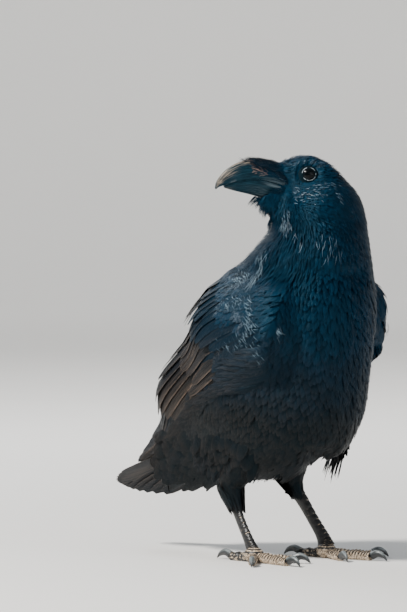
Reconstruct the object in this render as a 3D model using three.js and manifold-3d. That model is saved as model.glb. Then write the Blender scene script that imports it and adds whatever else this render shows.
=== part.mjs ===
// A raven standing on both feet, its head turned over its right shoulder: a still, life-size museum model.
// Millimetres. +Z is up, the bird walks towards -Y, and its left side is +X.
// It is drawn with x = 0 on the mid-plane of the body and the ground at z = 0, and set down at the end
// with the middle of the ground it covers at the origin.
import * as THREE from "three";
import { mergeVertices } from "three/addons/utils/BufferGeometryUtils.js";
import Module from "manifold-3d";

const wasm = await Module();
wasm.setup();

// ---- driving dimensions -------------------------------------------------------------------------
const GAP = 0.3; // clear space between neighbouring solids
const HEAD_TURN = 120; // degrees that the bill has turned from straight ahead to the bird's right
const EYE_LINE = new THREE.Vector3(-12, -37, 384.5); // midway between the eyes
const EYE_RADIUS = 9.2;
const EYE_OUT = 15.7; // from the mid-plane of the head to an eye's centre
const STANCE = 44; // from the mid-plane of the body to each foot
const STRIDE = 8; // how far the left foot stands ahead of the middle, and the right one behind it
const FEET_AHEAD = 6.5; // how far ahead of the drawing's zero the middle of the stance is
const HEEL_HEIGHT = 66;
const BALL_HEIGHT = 11; // centre of the ball of the foot above the ground
const PAD_FLAT = 0.5; // how far the toe pads are pressed flat

// ---- shapes -------------------------------------------------------------------------------------
// A point from its place to the left of the mid-plane, how far ahead it is, and its height.
const at = (x, ahead, z) => new THREE.Vector3(x, -ahead, z);
const SIDEWAYS = new THREE.Vector3(1, 0, 0);

// Walks evenly through a list of numbers or vectors on a smooth curve.
function smooth(values) {
  const points = values.map((v) => (v.isVector3 ? v : new THREE.Vector3(v, 0, 0)));
  const curve = new THREE.CatmullRomCurve3(points, false, "catmullrom", 0.5);
  const place = (t) => curve.getPoint(THREE.MathUtils.clamp(t, 0, 1));
  return values[0].isVector3 ? place : (t) => place(t).x;
}

// A closed surface through rings of points, with a fan over each end.
function skinOf(rings) {
  const around = rings[0].length;
  const position = rings.flat();
  const index = [];
  for (let i = 0; i + 1 < rings.length; i++)
    for (let j = 0; j < around; j++) {
      const a = i * around + j;
      const b = i * around + ((j + 1) % around);
      index.push(a, b, a + around, b, b + around, a + around);
    }
  const middle = (ring) => ring.reduce((s, p) => s.add(p), new THREE.Vector3()).divideScalar(around);
  const first = position.push(middle(rings[0])) - 1;
  const last = position.push(middle(rings.at(-1))) - 1;
  const start = (rings.length - 1) * around;
  for (let j = 0; j < around; j++) {
    index.push(first, (j + 1) % around, j);
    index.push(last, start + j, start + ((j + 1) % around));
  }
  const geometry = new THREE.BufferGeometry().setFromPoints(position);
  geometry.setIndex(index);
  return geometry;
}

// A manifold-3d solid from a geometry, turned right side out.
function solid(geometry) {
  const bare = geometry.clone();
  bare.deleteAttribute("normal");
  bare.deleteAttribute("uv");
  const merged = mergeVertices(bare, 1e-4);
  const make = (triVerts) =>
    new wasm.Manifold(
      new wasm.Mesh({ numProp: 3, vertProperties: merged.attributes.position.array, triVerts }),
    );
  const faces = new Uint32Array(merged.index.array);
  const made = make(faces);
  if (made.volume() > 0) return made;
  for (let i = 0; i < faces.length; i += 3) [faces[i], faces[i + 1]] = [faces[i + 1], faces[i]];
  return make(faces);
}

// A body between a back outline and a front outline, each station {back, front, half, waist}:
// half is the half-width, and waist how far from front to back the widest place is.
// square above 2 makes the sections boxier. grow swells the body all round.
function railBody(stations, { rings, around, square = 2, side = SIDEWAYS, grow = 0 }) {
  const back = smooth(stations.map((s) => s.back));
  const front = smooth(stations.map((s) => s.front));
  const half = smooth(stations.map((s) => s.half));
  const waist = smooth(stations.map((s) => s.waist ?? 0.5));
  const round = (v) => Math.sign(v) * Math.abs(v) ** (2 / square);
  const made = [];
  for (let i = 0; i <= rings; i++) {
    const t = i / rings;
    const [b, f] = [back(t), front(t)];
    const centre = f.clone().lerp(b, waist(t));
    const across = b.clone().sub(f).normalize();
    const ring = [];
    for (let j = 0; j < around; j++) {
      const angle = (2 * Math.PI * j) / around;
      const [c, s] = [round(Math.cos(angle)), round(Math.sin(angle))];
      const rail = s > 0 ? b : f;
      const p = centre.clone().lerp(rail, Math.abs(s)).addScaledVector(side, half(t) * c);
      ring.push(p.addScaledVector(side, grow * c).addScaledVector(across, grow * s));
    }
    made.push(ring);
  }
  if (grow) {
    const push = (ring, other) => {
      const out = ring[0].clone().sub(other[0]).add(ring[around / 2].clone().sub(other[around / 2]));
      ring.forEach((p) => p.addScaledVector(out.normalize(), grow));
    };
    push(made[0], made[1]);
    push(made[rings], made[rings - 1]);
  }
  return solid(skinOf(made));
}

// A round limb along a list of points, with a radius at each; wide stretches it along the side direction.
function limb(points, radii, { steps, around, wide = 1, side = SIDEWAYS, grow = 0 }) {
  const path = smooth(points);
  const radius = smooth(radii);
  const made = [];
  for (let i = 0; i <= steps; i++) {
    const t = i / steps;
    const ahead = path(t + 0.01).sub(path(t - 0.01)).normalize();
    const right = side.clone().addScaledVector(ahead, -side.dot(ahead)).normalize();
    const up = right.clone().cross(ahead);
    const ring = [];
    for (let j = 0; j < around; j++) {
      const angle = (2 * Math.PI * (j + 0.5)) / around;
      const p = path(t).addScaledVector(right, (radius(t) * wide + grow) * Math.cos(angle));
      ring.push(p.addScaledVector(up, (radius(t) + grow) * Math.sin(angle)));
    }
    made.push(ring);
  }
  return solid(skinOf(made));
}

// A box between two corners, for parting one body from the next.
function block(low, high) {
  const size = high.clone().sub(low);
  const box = new THREE.BoxGeometry(size.x, size.y, size.z);
  box.translate(...low.clone().add(high).multiplyScalar(0.5).toArray());
  return solid(box);
}
const FAR = 600;
const above = (z) => block(new THREE.Vector3(-FAR, -FAR, z), new THREE.Vector3(FAR, FAR, FAR));
const below = (z) => block(new THREE.Vector3(-FAR, -FAR, -FAR), new THREE.Vector3(FAR, FAR, z));

// ---- trunk and neck -----------------------------------------------------------------------------
const TRUNK = [
  { back: at(0, -176, 95), front: at(0, -176, 77), half: 14 },
  { back: at(0, -154, 124), front: at(0, -136, 71), half: 32 },
  { back: at(0, -138, 161), front: at(0, -88, 72), half: 47, waist: 0.55 },
  { back: at(0, -122, 196), front: at(0, -30, 79), half: 60, waist: 0.58 },
  { back: at(0, -105, 226), front: at(0, 34, 91), half: 73, waist: 0.53 },
  { back: at(0, -87, 252), front: at(0, 77, 126), half: 73.5, waist: 0.5 },
  { back: at(0, -66, 275), front: at(0, 91, 184), half: 70, waist: 0.52 },
  { back: at(0, -45, 295), front: at(0, 99, 236), half: 66 },
  { back: at(0, -22, 314), front: at(0, 98, 282), half: 58 },
  { back: at(0, -4, 331), front: at(0, 93, 318), half: 50 },
  { back: at(0, 5, 348), front: at(0, 89, 345), half: 44 },
  { back: at(0, 12, 363), front: at(0, 84, 363), half: 36 },
  { back: at(0, 18, 375), front: at(0, 76, 375), half: 28 },
  { back: at(0, 29, 386), front: at(0, 62, 386), half: 16 },
];
const trunkBody = (grow = 0) => railBody(TRUNK, { rings: 22, around: 22, square: 2.2, grow });

// ---- head ---------------------------------------------------------------------------------------
const turn = THREE.MathUtils.degToRad(HEAD_TURN);
const billward = new THREE.Vector3(-Math.sin(turn), -Math.cos(turn), 0);
const headLeft = new THREE.Vector3(0, 0, 1).cross(billward);
// A point of the head's mid-plane: forward of the eyes, and above them.
const inHead = (forward, up) =>
  new THREE.Vector3(0, 0, up).add(EYE_LINE).addScaledVector(billward, forward);

const HEAD = [
  { forward: -54, top: -34, bottom: -60, half: 9 },
  { forward: -49, top: -21, bottom: -70, half: 20 },
  { forward: -40, top: -5, bottom: -77, half: 28 },
  { forward: -30, top: 7, bottom: -80, half: 31.5 },
  { forward: -20, top: 14, bottom: -80, half: 32 },
  { forward: -9, top: 18.5, bottom: -78, half: 29.5 },
  { forward: 2, top: 20, bottom: -73, half: 26 },
  { forward: 12, top: 18, bottom: -66, half: 22, waist: 0.5 },
  { forward: 21, top: 15, bottom: -62, half: 16.4, waist: 0.5 },
  { forward: 28, top: 13, bottom: -57, half: 12.6, waist: 0.5 },
  { forward: 36, top: 11, bottom: -49, half: 10.6, waist: 0.56 },
  { forward: 42, top: 6, bottom: -40, half: 8.6, waist: 0.6 },
  { forward: 48, top: -8, bottom: -29, half: 5.2, waist: 0.6 },
].map(({ forward, top, bottom, half, waist = 0.56 }) => ({
  back: inHead(forward, top),
  front: inHead(forward, bottom),
  half,
  waist,
}));
const headBody = (grow = 0) => railBody(HEAD, { rings: 17, around: 18, side: headLeft, grow });

// The bristles that lie over the root of the bill and hide the nostrils.
const BRISTLES = [
  { back: inHead(24, 13.5), front: inHead(24, -8), half: 14 },
  { back: inHead(36, 14.5), front: inHead(36, -2), half: 12.4 },
  { back: inHead(46, 16.2), front: inHead(46, 1), half: 10.6 },
  { back: inHead(54, 16), front: inHead(54, 5), half: 8.4 },
  { back: inHead(60, 14.6), front: inHead(59, 9), half: 4.2 },
];
const bristleBody = () => railBody(BRISTLES, { rings: 5, around: 10, side: headLeft });

// ---- bill ---------------------------------------------------------------------------------------
// Both halves share the line where they meet, which rises from the gape and falls to the hooked tip.
const UPPER_BILL = [
  { culmen: [14, 4], mouth: [16, -12], half: 12.5 },
  { culmen: [24, 9], mouth: [24, -10], half: 12.2 },
  { culmen: [36, 12.5], mouth: [36, -6.5], half: 11.2 },
  { culmen: [48, 14.5], mouth: [48, -4], half: 9.6 },
  { culmen: [59, 14.5], mouth: [58, -4], half: 8.2 },
  { culmen: [69, 12], mouth: [67, -5], half: 6.8 },
  { culmen: [78.5, 6.5], mouth: [75.5, -7.5], half: 5.2 },
  { culmen: [86, -1], mouth: [82.5, -10], half: 3.6 },
  { culmen: [90, -7.5], mouth: [87.5, -12], half: 2 },
  { culmen: [91.2, -13], mouth: [90, -14], half: 0.7 },
];
const LOWER_BILL = [
  { mouth: [16, -12.6], keel: [16, -26], half: 11.6 },
  { mouth: [24, -10.6], keel: [24, -25.5], half: 11.4 },
  { mouth: [36, -7.1], keel: [36, -23.5], half: 10.2 },
  { mouth: [48, -4.6], keel: [48, -21], half: 8.6 },
  { mouth: [58, -4.6], keel: [58, -18.5], half: 7.2 },
  { mouth: [67, -5.6], keel: [67, -16.5], half: 5.8 },
  { mouth: [75.5, -8.1], keel: [75, -14.5], half: 4.2 },
  { mouth: [82, -10.4], keel: [81.4, -12.6], half: 2 },
];
// Half of the bill: a round back on the culmen or keel side, and flat where the two halves meet.
function billHalf(stations, edge, grow = 0) {
  const rail = smooth(stations.map((s) => inHead(...s[edge])));
  const mouth = smooth(stations.map((s) => inHead(...s.mouth)));
  const half = smooth(stations.map((s) => s.half));
  const [rings, around] = [14, 8];
  const made = [];
  for (let i = 0; i <= rings; i++) {
    const t = i / rings;
    const up = rail(t).sub(mouth(t));
    const out = up.clone().normalize();
    const ring = [];
    for (let j = 0; j <= around; j++) {
      const angle = (Math.PI * j) / around;
      const rise = Math.sin(angle) ** 0.95;
      const wide = Math.sign(Math.cos(angle)) * Math.abs(Math.cos(angle)) ** 0.8;
      const p = mouth(t).addScaledVector(up, rise).addScaledVector(headLeft, wide * (half(t) + grow));
      ring.push(p.addScaledVector(out, grow * (2 * Math.sin(angle) - 1)));
    }
    made.push(ring);
  }
  return solid(skinOf(made));
}

// ---- eyes ---------------------------------------------------------------------------------------
const EYE_FORWARD = 1;
function eyeball(sign, grow = 0) {
  const ball = new THREE.SphereGeometry(EYE_RADIUS + grow, 12, 8);
  ball.translate(...inHead(EYE_FORWARD, 0).addScaledVector(headLeft, sign * EYE_OUT).toArray());
  return solid(ball);
}

// ---- wings --------------------------------------------------------------------------------------
// The folded wing is a sheet between an upper edge over the back and a lower edge along the flank,
// bulging out through a middle line. Each list runs from the shoulder to the wing's tip.
const WING_UPPER = [
  [54, 49, 291], [43, -4, 306], [41, -54, 283], [34, -95, 234], [26, -135, 191], [15, -161, 146],
  [11, -209, 99],
];
const WING_MIDDLE = [
  [74, 67, 255], [85, 40, 246], [80, -40, 238], [65, -79, 209], [60, -125, 173], [35, -153, 137],
  [16, -215, 90],
];
const WING_LOWER = [
  [72, 61, 217], [81, 46, 194], [77, -10, 178], [69, -60, 160], [55, -103, 137], [37, -149, 107],
  [19, -211, 81],
];
function wingSheet(sign) {
  const edge = (list) => smooth(list.map(([x, ahead, z]) => at(sign * x, ahead, z)));
  const [upper, middle, lower] = [WING_UPPER, WING_MIDDLE, WING_LOWER].map(edge);
  // along runs from shoulder to tip, and across from the upper edge to the lower one.
  const point = (along, across) => {
    const [u, m, l] = [upper(along), middle(along), lower(along)];
    const middling = 4 * across * (1 - across);
    const upward = (1 - middling + 1 - 2 * across) / 2;
    return u.multiplyScalar(upward).addScaledVector(m, middling).addScaledVector(l, 1 - middling - upward);
  };
  const outward = (along, across) => {
    const d = 0.01;
    const da = point(along + d, across).sub(point(along - d, across));
    const dc = point(along, across + d).sub(point(along, across - d));
    return da.cross(dc).normalize().multiplyScalar(-sign);
  };
  return (along, across, out) => point(along, across).addScaledVector(outward(along, across), out);
}
const COVERTS_END = 0.47; // how far along the wing the coverts reach
const ARM_DEPTH = 17; // thickness of the folded arm under the coverts
const LIP = 2.6; // thickness of the coverts where they lie over the flight feathers
function covertsBody(place) {
  const [rows, columns] = [10, 8];
  const rise = (along, across) => {
    const rolled = 1 - THREE.MathUtils.smoothstep(along, 0.2, 0.4); // the edges roll in round the arm
    return -6 * rolled * Math.abs(2 * across - 1) ** 5;
  };
  const grid = (level) => {
    const made = [];
    for (let i = 0; i <= rows; i++) {
      const along = COVERTS_END - (COVERTS_END - 0.01) * (1 - i / rows);
      const row = [];
      for (let j = 0; j <= columns; j++) {
        const tip = i === rows && j % 2 ? 0.022 : 0; // the tips of the greater coverts
        row.push(place(along + tip, j / columns, rise(along, j / columns) + level(i)));
      }
      made.push(row);
    }
    return made;
  };
  return lamina(grid(() => 0), grid((i) => (i > rows - 2 ? -LIP : -ARM_DEPTH)));
}
// The secondaries lie under the coverts, and the primaries under the secondaries.
const SECONDARIES = 9;
const PRIMARIES = 6;
const VANE = 2.2; // thickness of a row of flight feathers
const VANE_STEP = 1.1; // how far one feather's edge stands over the next
const LAYER = 1.4; // from one layer of feathers to the next
const secondaryVanes = Array.from({ length: SECONDARIES }, (_, k) => {
  const row = k / (SECONDARIES - 1); // 0 over the back, 1 at the lower edge
  return { from: [0.445, 0.06 + 0.88 * row], to: [0.71 - 0.1 * row + 0.015 * (k % 2), 0.05 + 0.88 * row] };
});
const primaryVanes = Array.from({ length: PRIMARIES }, (_, k) => {
  const row = k / (PRIMARIES - 1); // 0 the innermost, 1 the outermost
  return { from: [0.55, 0.16 + 0.74 * row], to: [0.86 + 0.14 * row ** 0.7, 0.1 + 0.75 * row] };
});

// ---- feathers -----------------------------------------------------------------------------------
// A closed sheet: a grid of outer points, backed by a grid of inner points.
function lamina(outer, inner) {
  const [rows, columns] = [outer.length, outer[0].length];
  const behind = rows * columns;
  const index = [];
  const quad = (a, b, c, d) => index.push(a, b, c, a, c, d);
  for (let i = 0; i + 1 < rows; i++)
    for (let j = 0; j + 1 < columns; j++) {
      const a = i * columns + j;
      quad(a, a + 1, a + columns + 1, a + columns);
      quad(behind + a, behind + a + columns, behind + a + columns + 1, behind + a + 1);
    }
  const rim = [];
  for (let j = 0; j < columns; j++) rim.push(j);
  for (let i = 1; i < rows; i++) rim.push(i * columns + columns - 1);
  for (let j = columns - 2; j >= 0; j--) rim.push((rows - 1) * columns + j);
  for (let i = rows - 2; i > 0; i--) rim.push(i * columns);
  rim.forEach((p, k) => {
    const q = rim[(k + 1) % rim.length];
    quad(q, p, behind + p, behind + q);
  });
  const geometry = new THREE.BufferGeometry().setFromPoints([...outer.flat(), ...inner.flat()]);
  geometry.setIndex(index);
  return solid(geometry);
}
// A row of long feathers side by side. place(along, across, out) gives a point, each vane runs between
// two places {from, to}, level(k) is its height, and each one's later edge stands over the next.
function vanesBody({ place, vanes, level, step, thick, rows = 4 }) {
  const shaft = (vane, t) => vane.from.map((v, axis) => v + (vane.to[axis] - v) * t);
  const edge = (k, side, t) => {
    const [mine, other] = [shaft(vanes[k], t), shaft(vanes[k + side] ?? vanes[k - side], t)];
    const reach = vanes[k + side] ? 0.5 : -0.5;
    return mine.map((v, axis) => v + (other[axis] - v) * reach);
  };
  const grid = (down) => {
    const made = [];
    for (let i = 0; i <= rows; i++) {
      const t = 1 - (1 - i / rows) ** 1.4; // the rows crowd towards the tips
      const row = [];
      vanes.forEach((vane, k) => {
        row.push(place(...edge(k, -1, t * 0.95), level(k) - down));
        row.push(place(...shaft(vane, t), level(k) + step * 0.6 - down));
        row.push(place(...edge(k, 1, t * 0.95), level(k) + step - down));
      });
      made.push(row);
    }
    return made;
  };
  return lamina(grid(0), grid(thick));
}

// ---- tail ---------------------------------------------------------------------------------------
const TAIL_ROOT = at(0, -108, 98);
const TAIL_TIP = at(0, -236, 66);
const TAIL_FEATHERS = 12;
const TAIL_ROOT_HALF = 17;
const TAIL_TIP_HALF = 29;
const TAIL_WEDGE = 36; // how much shorter the outermost feathers are
const TAIL_ARCH = 4; // how far the outermost feathers hang below the middle ones
const TAIL_ROLL = 0.48; // how steeply the fan is turned, right side up
const tailAxis = TAIL_TIP.clone().sub(TAIL_ROOT);
const tailUp = tailAxis.clone().normalize().cross(SIDEWAYS);
if (tailUp.z < 0) tailUp.negate();
const tailPlace = (along, across, out) => {
  const span = across * THREE.MathUtils.lerp(TAIL_ROOT_HALF, TAIL_TIP_HALF, along);
  const reach = along * (1 - (TAIL_WEDGE / tailAxis.length()) * across ** 2);
  const drop = TAIL_ARCH * across ** 2;
  const p = TAIL_ROOT.clone().addScaledVector(tailAxis, reach);
  return p.add(new THREE.Vector3(span, 0, 0)).addScaledVector(tailUp, out - drop - TAIL_ROLL * span);
};
const tailVanes = Array.from({ length: TAIL_FEATHERS }, (_, k) => {
  const across = (2 * (k + 0.5)) / TAIL_FEATHERS - 1;
  return { from: [0, across], to: [1, across] };
});

// ---- legs ---------------------------------------------------------------------------------------
// A feathered thigh, a bare tarsus with the ball of the foot, four toes and four claws.
const HEEL_BACK = 38; // how far the heel is behind the ball of the foot
const HEEL_IN = 8; // and how far it is nearer the mid-plane
const FOOT_SPLAY = 12; // degrees that each foot points outwards
const TARSUS_DEPTH = 5.6; // half of its front-to-back depth
const TARSUS_WIDTH = 0.62; // its width over its depth
const TOES = [
  // degrees out from the way the foot points, length beyond the ball, radius at the root, claw length
  { toe: "middle", out: -4, long: 54, thick: 4.8, claw: 18 },
  { toe: "inner", out: -38, long: 40, thick: 4.4, claw: 17 },
  { toe: "outer", out: 36, long: 45, thick: 4.3, claw: 16 },
  { toe: "hind", out: 172, long: 33, thick: 4.8, claw: 21 },
];
// The thighs' feathers: where the knee is ahead of the heel, and how far down the tarsus they hang.
const THIGHS = {
  left: { knee: { ahead: 1, radius: 15.5 }, shank: 9, hem: 0.12 },
  right: { knee: { ahead: 7, radius: 18 }, shank: 12.5, hem: 0.27 },
};
const CLAW_ROOT = 1.7; // from the end of a toe to the middle of its claw's root
const UPRIGHT = new THREE.Vector3(0, 0, 1);
const heading = (degrees) => {
  const angle = THREE.MathUtils.degToRad(degrees);
  return new THREE.Vector3(Math.sin(angle), -Math.cos(angle), 0);
};
function legOf(sign) {
  const ahead = FEET_AHEAD + sign * STRIDE;
  const ball = at(sign * STANCE, ahead, BALL_HEIGHT);
  const heel = at(sign * (STANCE - HEEL_IN), ahead - HEEL_BACK, HEEL_HEIGHT);
  const shin = (t) => heel.clone().lerp(ball, t);
  const sideways = heading(sign * FOOT_SPLAY + 90);
  const { knee, shank, hem } = sign > 0 ? THIGHS.left : THIGHS.right;
  const thigh = (grow = 0) => {
    const path = [at(sign * 34, -8, 124), at(sign * 35, knee.ahead - heel.y, 92), at(sign * 36, -1 - heel.y, 72)];
    return limb([...path, shin(hem)], [27, knee.radius, shank, 6], { steps: 6, around: 10, grow });
  };
  const tarsus = (grow = 0) => {
    const path = [shin(-0.05), shin(0.05), shin(0.5), shin(0.85), shin(1)];
    const depth = [1, 1.02, 0.84, 1.02, 1.15].map((share) => share * TARSUS_DEPTH);
    const shank = limb(path, depth, { steps: 5, around: 8, side: sideways, wide: TARSUS_WIDTH, grow });
    const pad = new THREE.SphereGeometry(1, 10, 7);
    pad.scale(9.5 + grow, 10.5 + grow, 8 + grow);
    pad.translate(ball.x, ball.y, 7.4);
    return shank.add(solid(pad)).intersect(above(0));
  };
  const toe = ({ out, long, thick }, grow = 0) => {
    const way = heading(sign * (out + FOOT_SPLAY));
    const on = (share, z) => ball.clone().setZ(z - PAD_FLAT).addScaledVector(way, share * long);
    const path = [on(0.05, 7.6), on(0.35, 5.4), on(0.7, 4.6), on(1, 4.2)];
    const radius = [1, 0.96, 0.92, 0.8].map((share) => share * thick);
    return limb(path, radius, { steps: 4, around: 8, side: UPRIGHT, grow }).intersect(above(0));
  };
  const claw = ({ out, long, claw: length }) => {
    const way = heading(sign * (out + FOOT_SPLAY));
    const on = (share, z) => ball.clone().setZ(z).addScaledVector(way, long + CLAW_ROOT + share * length);
    const path = [on(0, 5), on(0.38, 7.4), on(0.75, 5.4), on(1, 1)];
    return limb(path, [3.3, 2.7, 1.7, 0.5], { steps: 4, around: 6, side: UPRIGHT, wide: 1.15 });
  };
  return { thigh, tarsus, toe, claw };
}

// ---- assembly -----------------------------------------------------------------------------------
const FINISHES = {
  plumage: { color: 0x0d1218, roughness: 0.45 },
  flight: { color: 0x15161a, roughness: 0.5 },
  bill: { color: 0x17181b, roughness: 0.35 },
  eye: { color: 0x140c08, roughness: 0.08 },
  leg: { color: 0x1c1c1e, roughness: 0.6 },
  claw: { color: 0x2a2a2c, roughness: 0.4 },
};
const raven = new THREE.Group();
function add(name, finish, shape) {
  const { vertProperties, triVerts, numProp } = shape.getMesh();
  const position = new Float32Array((vertProperties.length / numProp) * 3);
  for (let i = 0; i < position.length / 3; i++)
    position.set(vertProperties.subarray(i * numProp, i * numProp + 3), i * 3);
  const geometry = new THREE.BufferGeometry();
  geometry.setAttribute("position", new THREE.BufferAttribute(position, 3));
  geometry.setIndex(new THREE.BufferAttribute(triVerts, 1));
  geometry.computeVertexNormals();
  const material = new THREE.MeshStandardMaterial({ ...FINISHES[finish], metalness: 0 });
  const mesh = new THREE.Mesh(geometry, material);
  mesh.name = name;
  raven.add(mesh);
}

const NECK_FOOT = 292; // height where the neck leaves the trunk
const HEAD_FOOT = 346; // height where the head begins
const flesh = trunkBody().add(headBody()).add(bristleBody());
const BILL_SEAT = 0.45; // clear space round the bill where it enters the head
const bills = billHalf(UPPER_BILL, "culmen", BILL_SEAT).add(billHalf(LOWER_BILL, "keel", BILL_SEAT));
const sockets = eyeball(1, GAP).add(eyeball(-1, GAP));
add("trunk", "plumage", flesh.intersect(below(NECK_FOOT - GAP)));
add("neck", "plumage", flesh.intersect(above(NECK_FOOT)).intersect(below(HEAD_FOOT - GAP)));
add("head", "plumage", flesh.intersect(above(HEAD_FOOT)).subtract(bills).subtract(sockets));
add("bill_upper", "bill", billHalf(UPPER_BILL, "culmen"));
add("bill_lower", "bill", billHalf(LOWER_BILL, "keel"));
add("eye_left", "eye", eyeball(1));
add("eye_right", "eye", eyeball(-1));

const trunkGrown = trunkBody(GAP);
const TAIL_STEP = 1.2; // how far each tail feather lies below the one inside it
const tailLevel = (k) => -TAIL_STEP * Math.floor(Math.abs(k - (TAIL_FEATHERS - 1) / 2));
const tail = vanesBody({ place: tailPlace, vanes: tailVanes, level: tailLevel, step: 0.3, thick: 2.4 });
add("tail", "flight", tail.subtract(trunkGrown));

for (const [side, sign] of [["left", 1], ["right", -1]]) {
  const leg = legOf(sign);
  add(`thigh_${side}`, "plumage", leg.thigh().subtract(trunkGrown));
  add(`tarsus_${side}`, "leg", leg.tarsus().subtract(leg.thigh(GAP)));
  let taken = leg.tarsus(GAP);
  for (const toe of TOES) {
    add(`toe_${side}_${toe.toe}`, "leg", leg.toe(toe).subtract(taken));
    add(`claw_${side}_${toe.toe}`, "claw", leg.claw(toe));
    taken = taken.add(leg.toe(toe, GAP));
  }

  const place = wingSheet(sign);
  add(`wing_${side}_coverts`, "plumage", covertsBody(place).subtract(trunkGrown));
  const under = LIP + LAYER + VANE_STEP;
  const secondaries = { place, vanes: secondaryVanes, level: () => -under, step: VANE_STEP, thick: VANE };
  add(`wing_${side}_secondaries`, "flight", vanesBody(secondaries).subtract(trunkGrown));
  const deeper = under + VANE + LAYER + VANE_STEP;
  const primaries = { place, vanes: primaryVanes, level: () => -deeper, step: VANE_STEP, thick: VANE };
  add(`wing_${side}_primaries`, "flight", vanesBody(primaries).subtract(trunkGrown));
}

// Set down with the middle of the ground it covers at the origin.
const reach = new THREE.Box3().setFromObject(raven);
const middle = reach.getCenter(new THREE.Vector3());
raven.position.set(-middle.x, -middle.y, -reach.min.z);

export default raven;
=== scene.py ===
"""The looks of a raven, life size: skin, plumage, bill, eyes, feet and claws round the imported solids.

Lengths are in millimetres in the drawing frame of the solids: x to the bird's left, y backwards and
z up from the ground, with x = 0 on the mid-plane of its body. `metres` turns them into the row frame.
"""
import math

import bpy
import numpy as np
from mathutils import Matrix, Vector
from mathutils.bvhtree import BVHTree
from mathutils.kdtree import KDTree


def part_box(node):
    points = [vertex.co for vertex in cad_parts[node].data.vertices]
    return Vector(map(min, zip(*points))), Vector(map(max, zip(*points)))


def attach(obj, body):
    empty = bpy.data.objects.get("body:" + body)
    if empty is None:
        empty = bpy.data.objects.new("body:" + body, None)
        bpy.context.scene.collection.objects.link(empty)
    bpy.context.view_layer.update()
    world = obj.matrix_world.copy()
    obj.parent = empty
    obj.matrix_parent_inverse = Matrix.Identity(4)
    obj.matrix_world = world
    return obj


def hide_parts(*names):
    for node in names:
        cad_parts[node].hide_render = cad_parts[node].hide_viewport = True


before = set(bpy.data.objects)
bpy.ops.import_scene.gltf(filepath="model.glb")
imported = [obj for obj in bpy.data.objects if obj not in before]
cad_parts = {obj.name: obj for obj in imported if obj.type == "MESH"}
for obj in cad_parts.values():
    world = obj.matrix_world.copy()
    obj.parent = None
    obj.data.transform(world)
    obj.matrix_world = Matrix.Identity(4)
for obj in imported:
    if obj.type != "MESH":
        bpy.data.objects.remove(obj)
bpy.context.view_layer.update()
rng = np.random.default_rng(8)

# ---- frame --------------------------------------------------------------------------------------
MM = 0.001
EYES_DRAWN = np.array([-12.87, -36.5, 384.5])  # midway between the eyes, as drawn


def centre_of(node):
    low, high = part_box(node)
    return np.array((low + high) / 2) / MM


eye_centres = {side: centre_of(f"eye_{side}") for side in ("left", "right")}
EYES_IN_ROW = (eye_centres["left"] + eye_centres["right"]) / 2
SHIFT = EYES_DRAWN - EYES_IN_ROW
UP = np.array([0.0, 0.0, 1.0])
DOWN = -UP
BACKWARD = np.array([0.0, 1.0, 0.0])


def metres(points):
    return (np.asarray(points) - SHIFT) * MM


def drawn(points):
    return np.asarray(points) / MM + SHIFT


def unit(vectors):
    length = np.linalg.norm(vectors, axis=-1, keepdims=True)
    return vectors / np.maximum(length, 1e-9)


def ease(low, high, value):
    """0 where value is at low, 1 where it is at high, and smooth between."""
    t = np.clip((np.asarray(value, float) - low) / (high - low), 0, 1)
    return t * t * (3 - 2 * t)


HEAD_LEFT = unit(eye_centres["left"] - eye_centres["right"])
BILLWARD = np.cross(HEAD_LEFT, UP)


def in_head(forward, up, left=0.0):
    """A point from how far it is ahead of the eyes, above them, and to the left of the head's middle."""
    return (
        EYES_DRAWN
        + np.multiply.outer(forward, BILLWARD)
        + np.multiply.outer(up, UP)
        + np.multiply.outer(left, HEAD_LEFT)
    )


def head_place(points):
    """How far points are ahead of the eyes, to the left of the head's middle, and above the eyes."""
    away = points - EYES_DRAWN
    return away @ BILLWARD, away @ HEAD_LEFT, away[..., 2]


def smooth_path(points):
    """A function from 0..1 to the smooth curve through the points, which may be numbers or places."""
    points = np.asarray(points, float)
    ends = [2 * points[:1] - points[1:2], points, 2 * points[-1:] - points[-2:-1]]
    padded = np.concatenate(ends)
    last = len(points) - 1

    def place(share):
        t = np.clip(np.asarray(share, float), 0, 1) * last
        i = np.minimum(t.astype(int), last - 1)
        w = (t - i).reshape(t.shape + (1,) * (points.ndim - 1))
        p0, p1, p2, p3 = (padded[i + k] for k in range(4))
        v1, v2 = (p2 - p0) / 2, (p3 - p1) / 2
        return ((2 * p1 - 2 * p2 + v1 + v2) * w + (3 * p2 - 3 * p1 - 2 * v1 - v2)) * w * w + v1 * w + p1

    return place


# ---- meshes -------------------------------------------------------------------------------------
def linked(name, data):
    """A new object in the scene."""
    made = bpy.data.objects.new(name, data)
    bpy.context.scene.collection.objects.link(made)
    return made


def mesh_object(name, points, faces, material, smooth_angle=None):
    """A piece from points in drawn millimetres and faces as lists of point numbers."""
    sizes = np.array([len(face) for face in faces])
    corners = np.concatenate([np.asarray(face) for face in faces])
    return finish_mesh(bpy.data.meshes.new(name), points, corners, sizes, material, smooth_angle)


def finish_mesh(mesh, points, corners, sizes, material, smooth_angle=None):
    mesh.vertices.add(len(points))
    mesh.vertices.foreach_set("co", metres(points).astype(np.float32).ravel())
    mesh.loops.add(len(corners))
    mesh.loops.foreach_set("vertex_index", corners.astype(np.int32))
    mesh.polygons.add(len(sizes))
    starts = np.concatenate([[0], np.cumsum(sizes)[:-1]])
    mesh.polygons.foreach_set("loop_start", starts.astype(np.int32))
    mesh.update(calc_edges=True)
    mesh.shade_smooth()
    if smooth_angle is not None:
        mesh.set_sharp_from_angle(angle=math.radians(smooth_angle))
    mesh.materials.append(material)
    return linked(mesh.name, mesh)


def belongs(piece, slot, *nodes):
    """The piece goes with the body and stands for the nodes; the slot is not used."""
    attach(piece, "root")
    if nodes:
        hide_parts(*nodes)
    return piece


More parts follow.
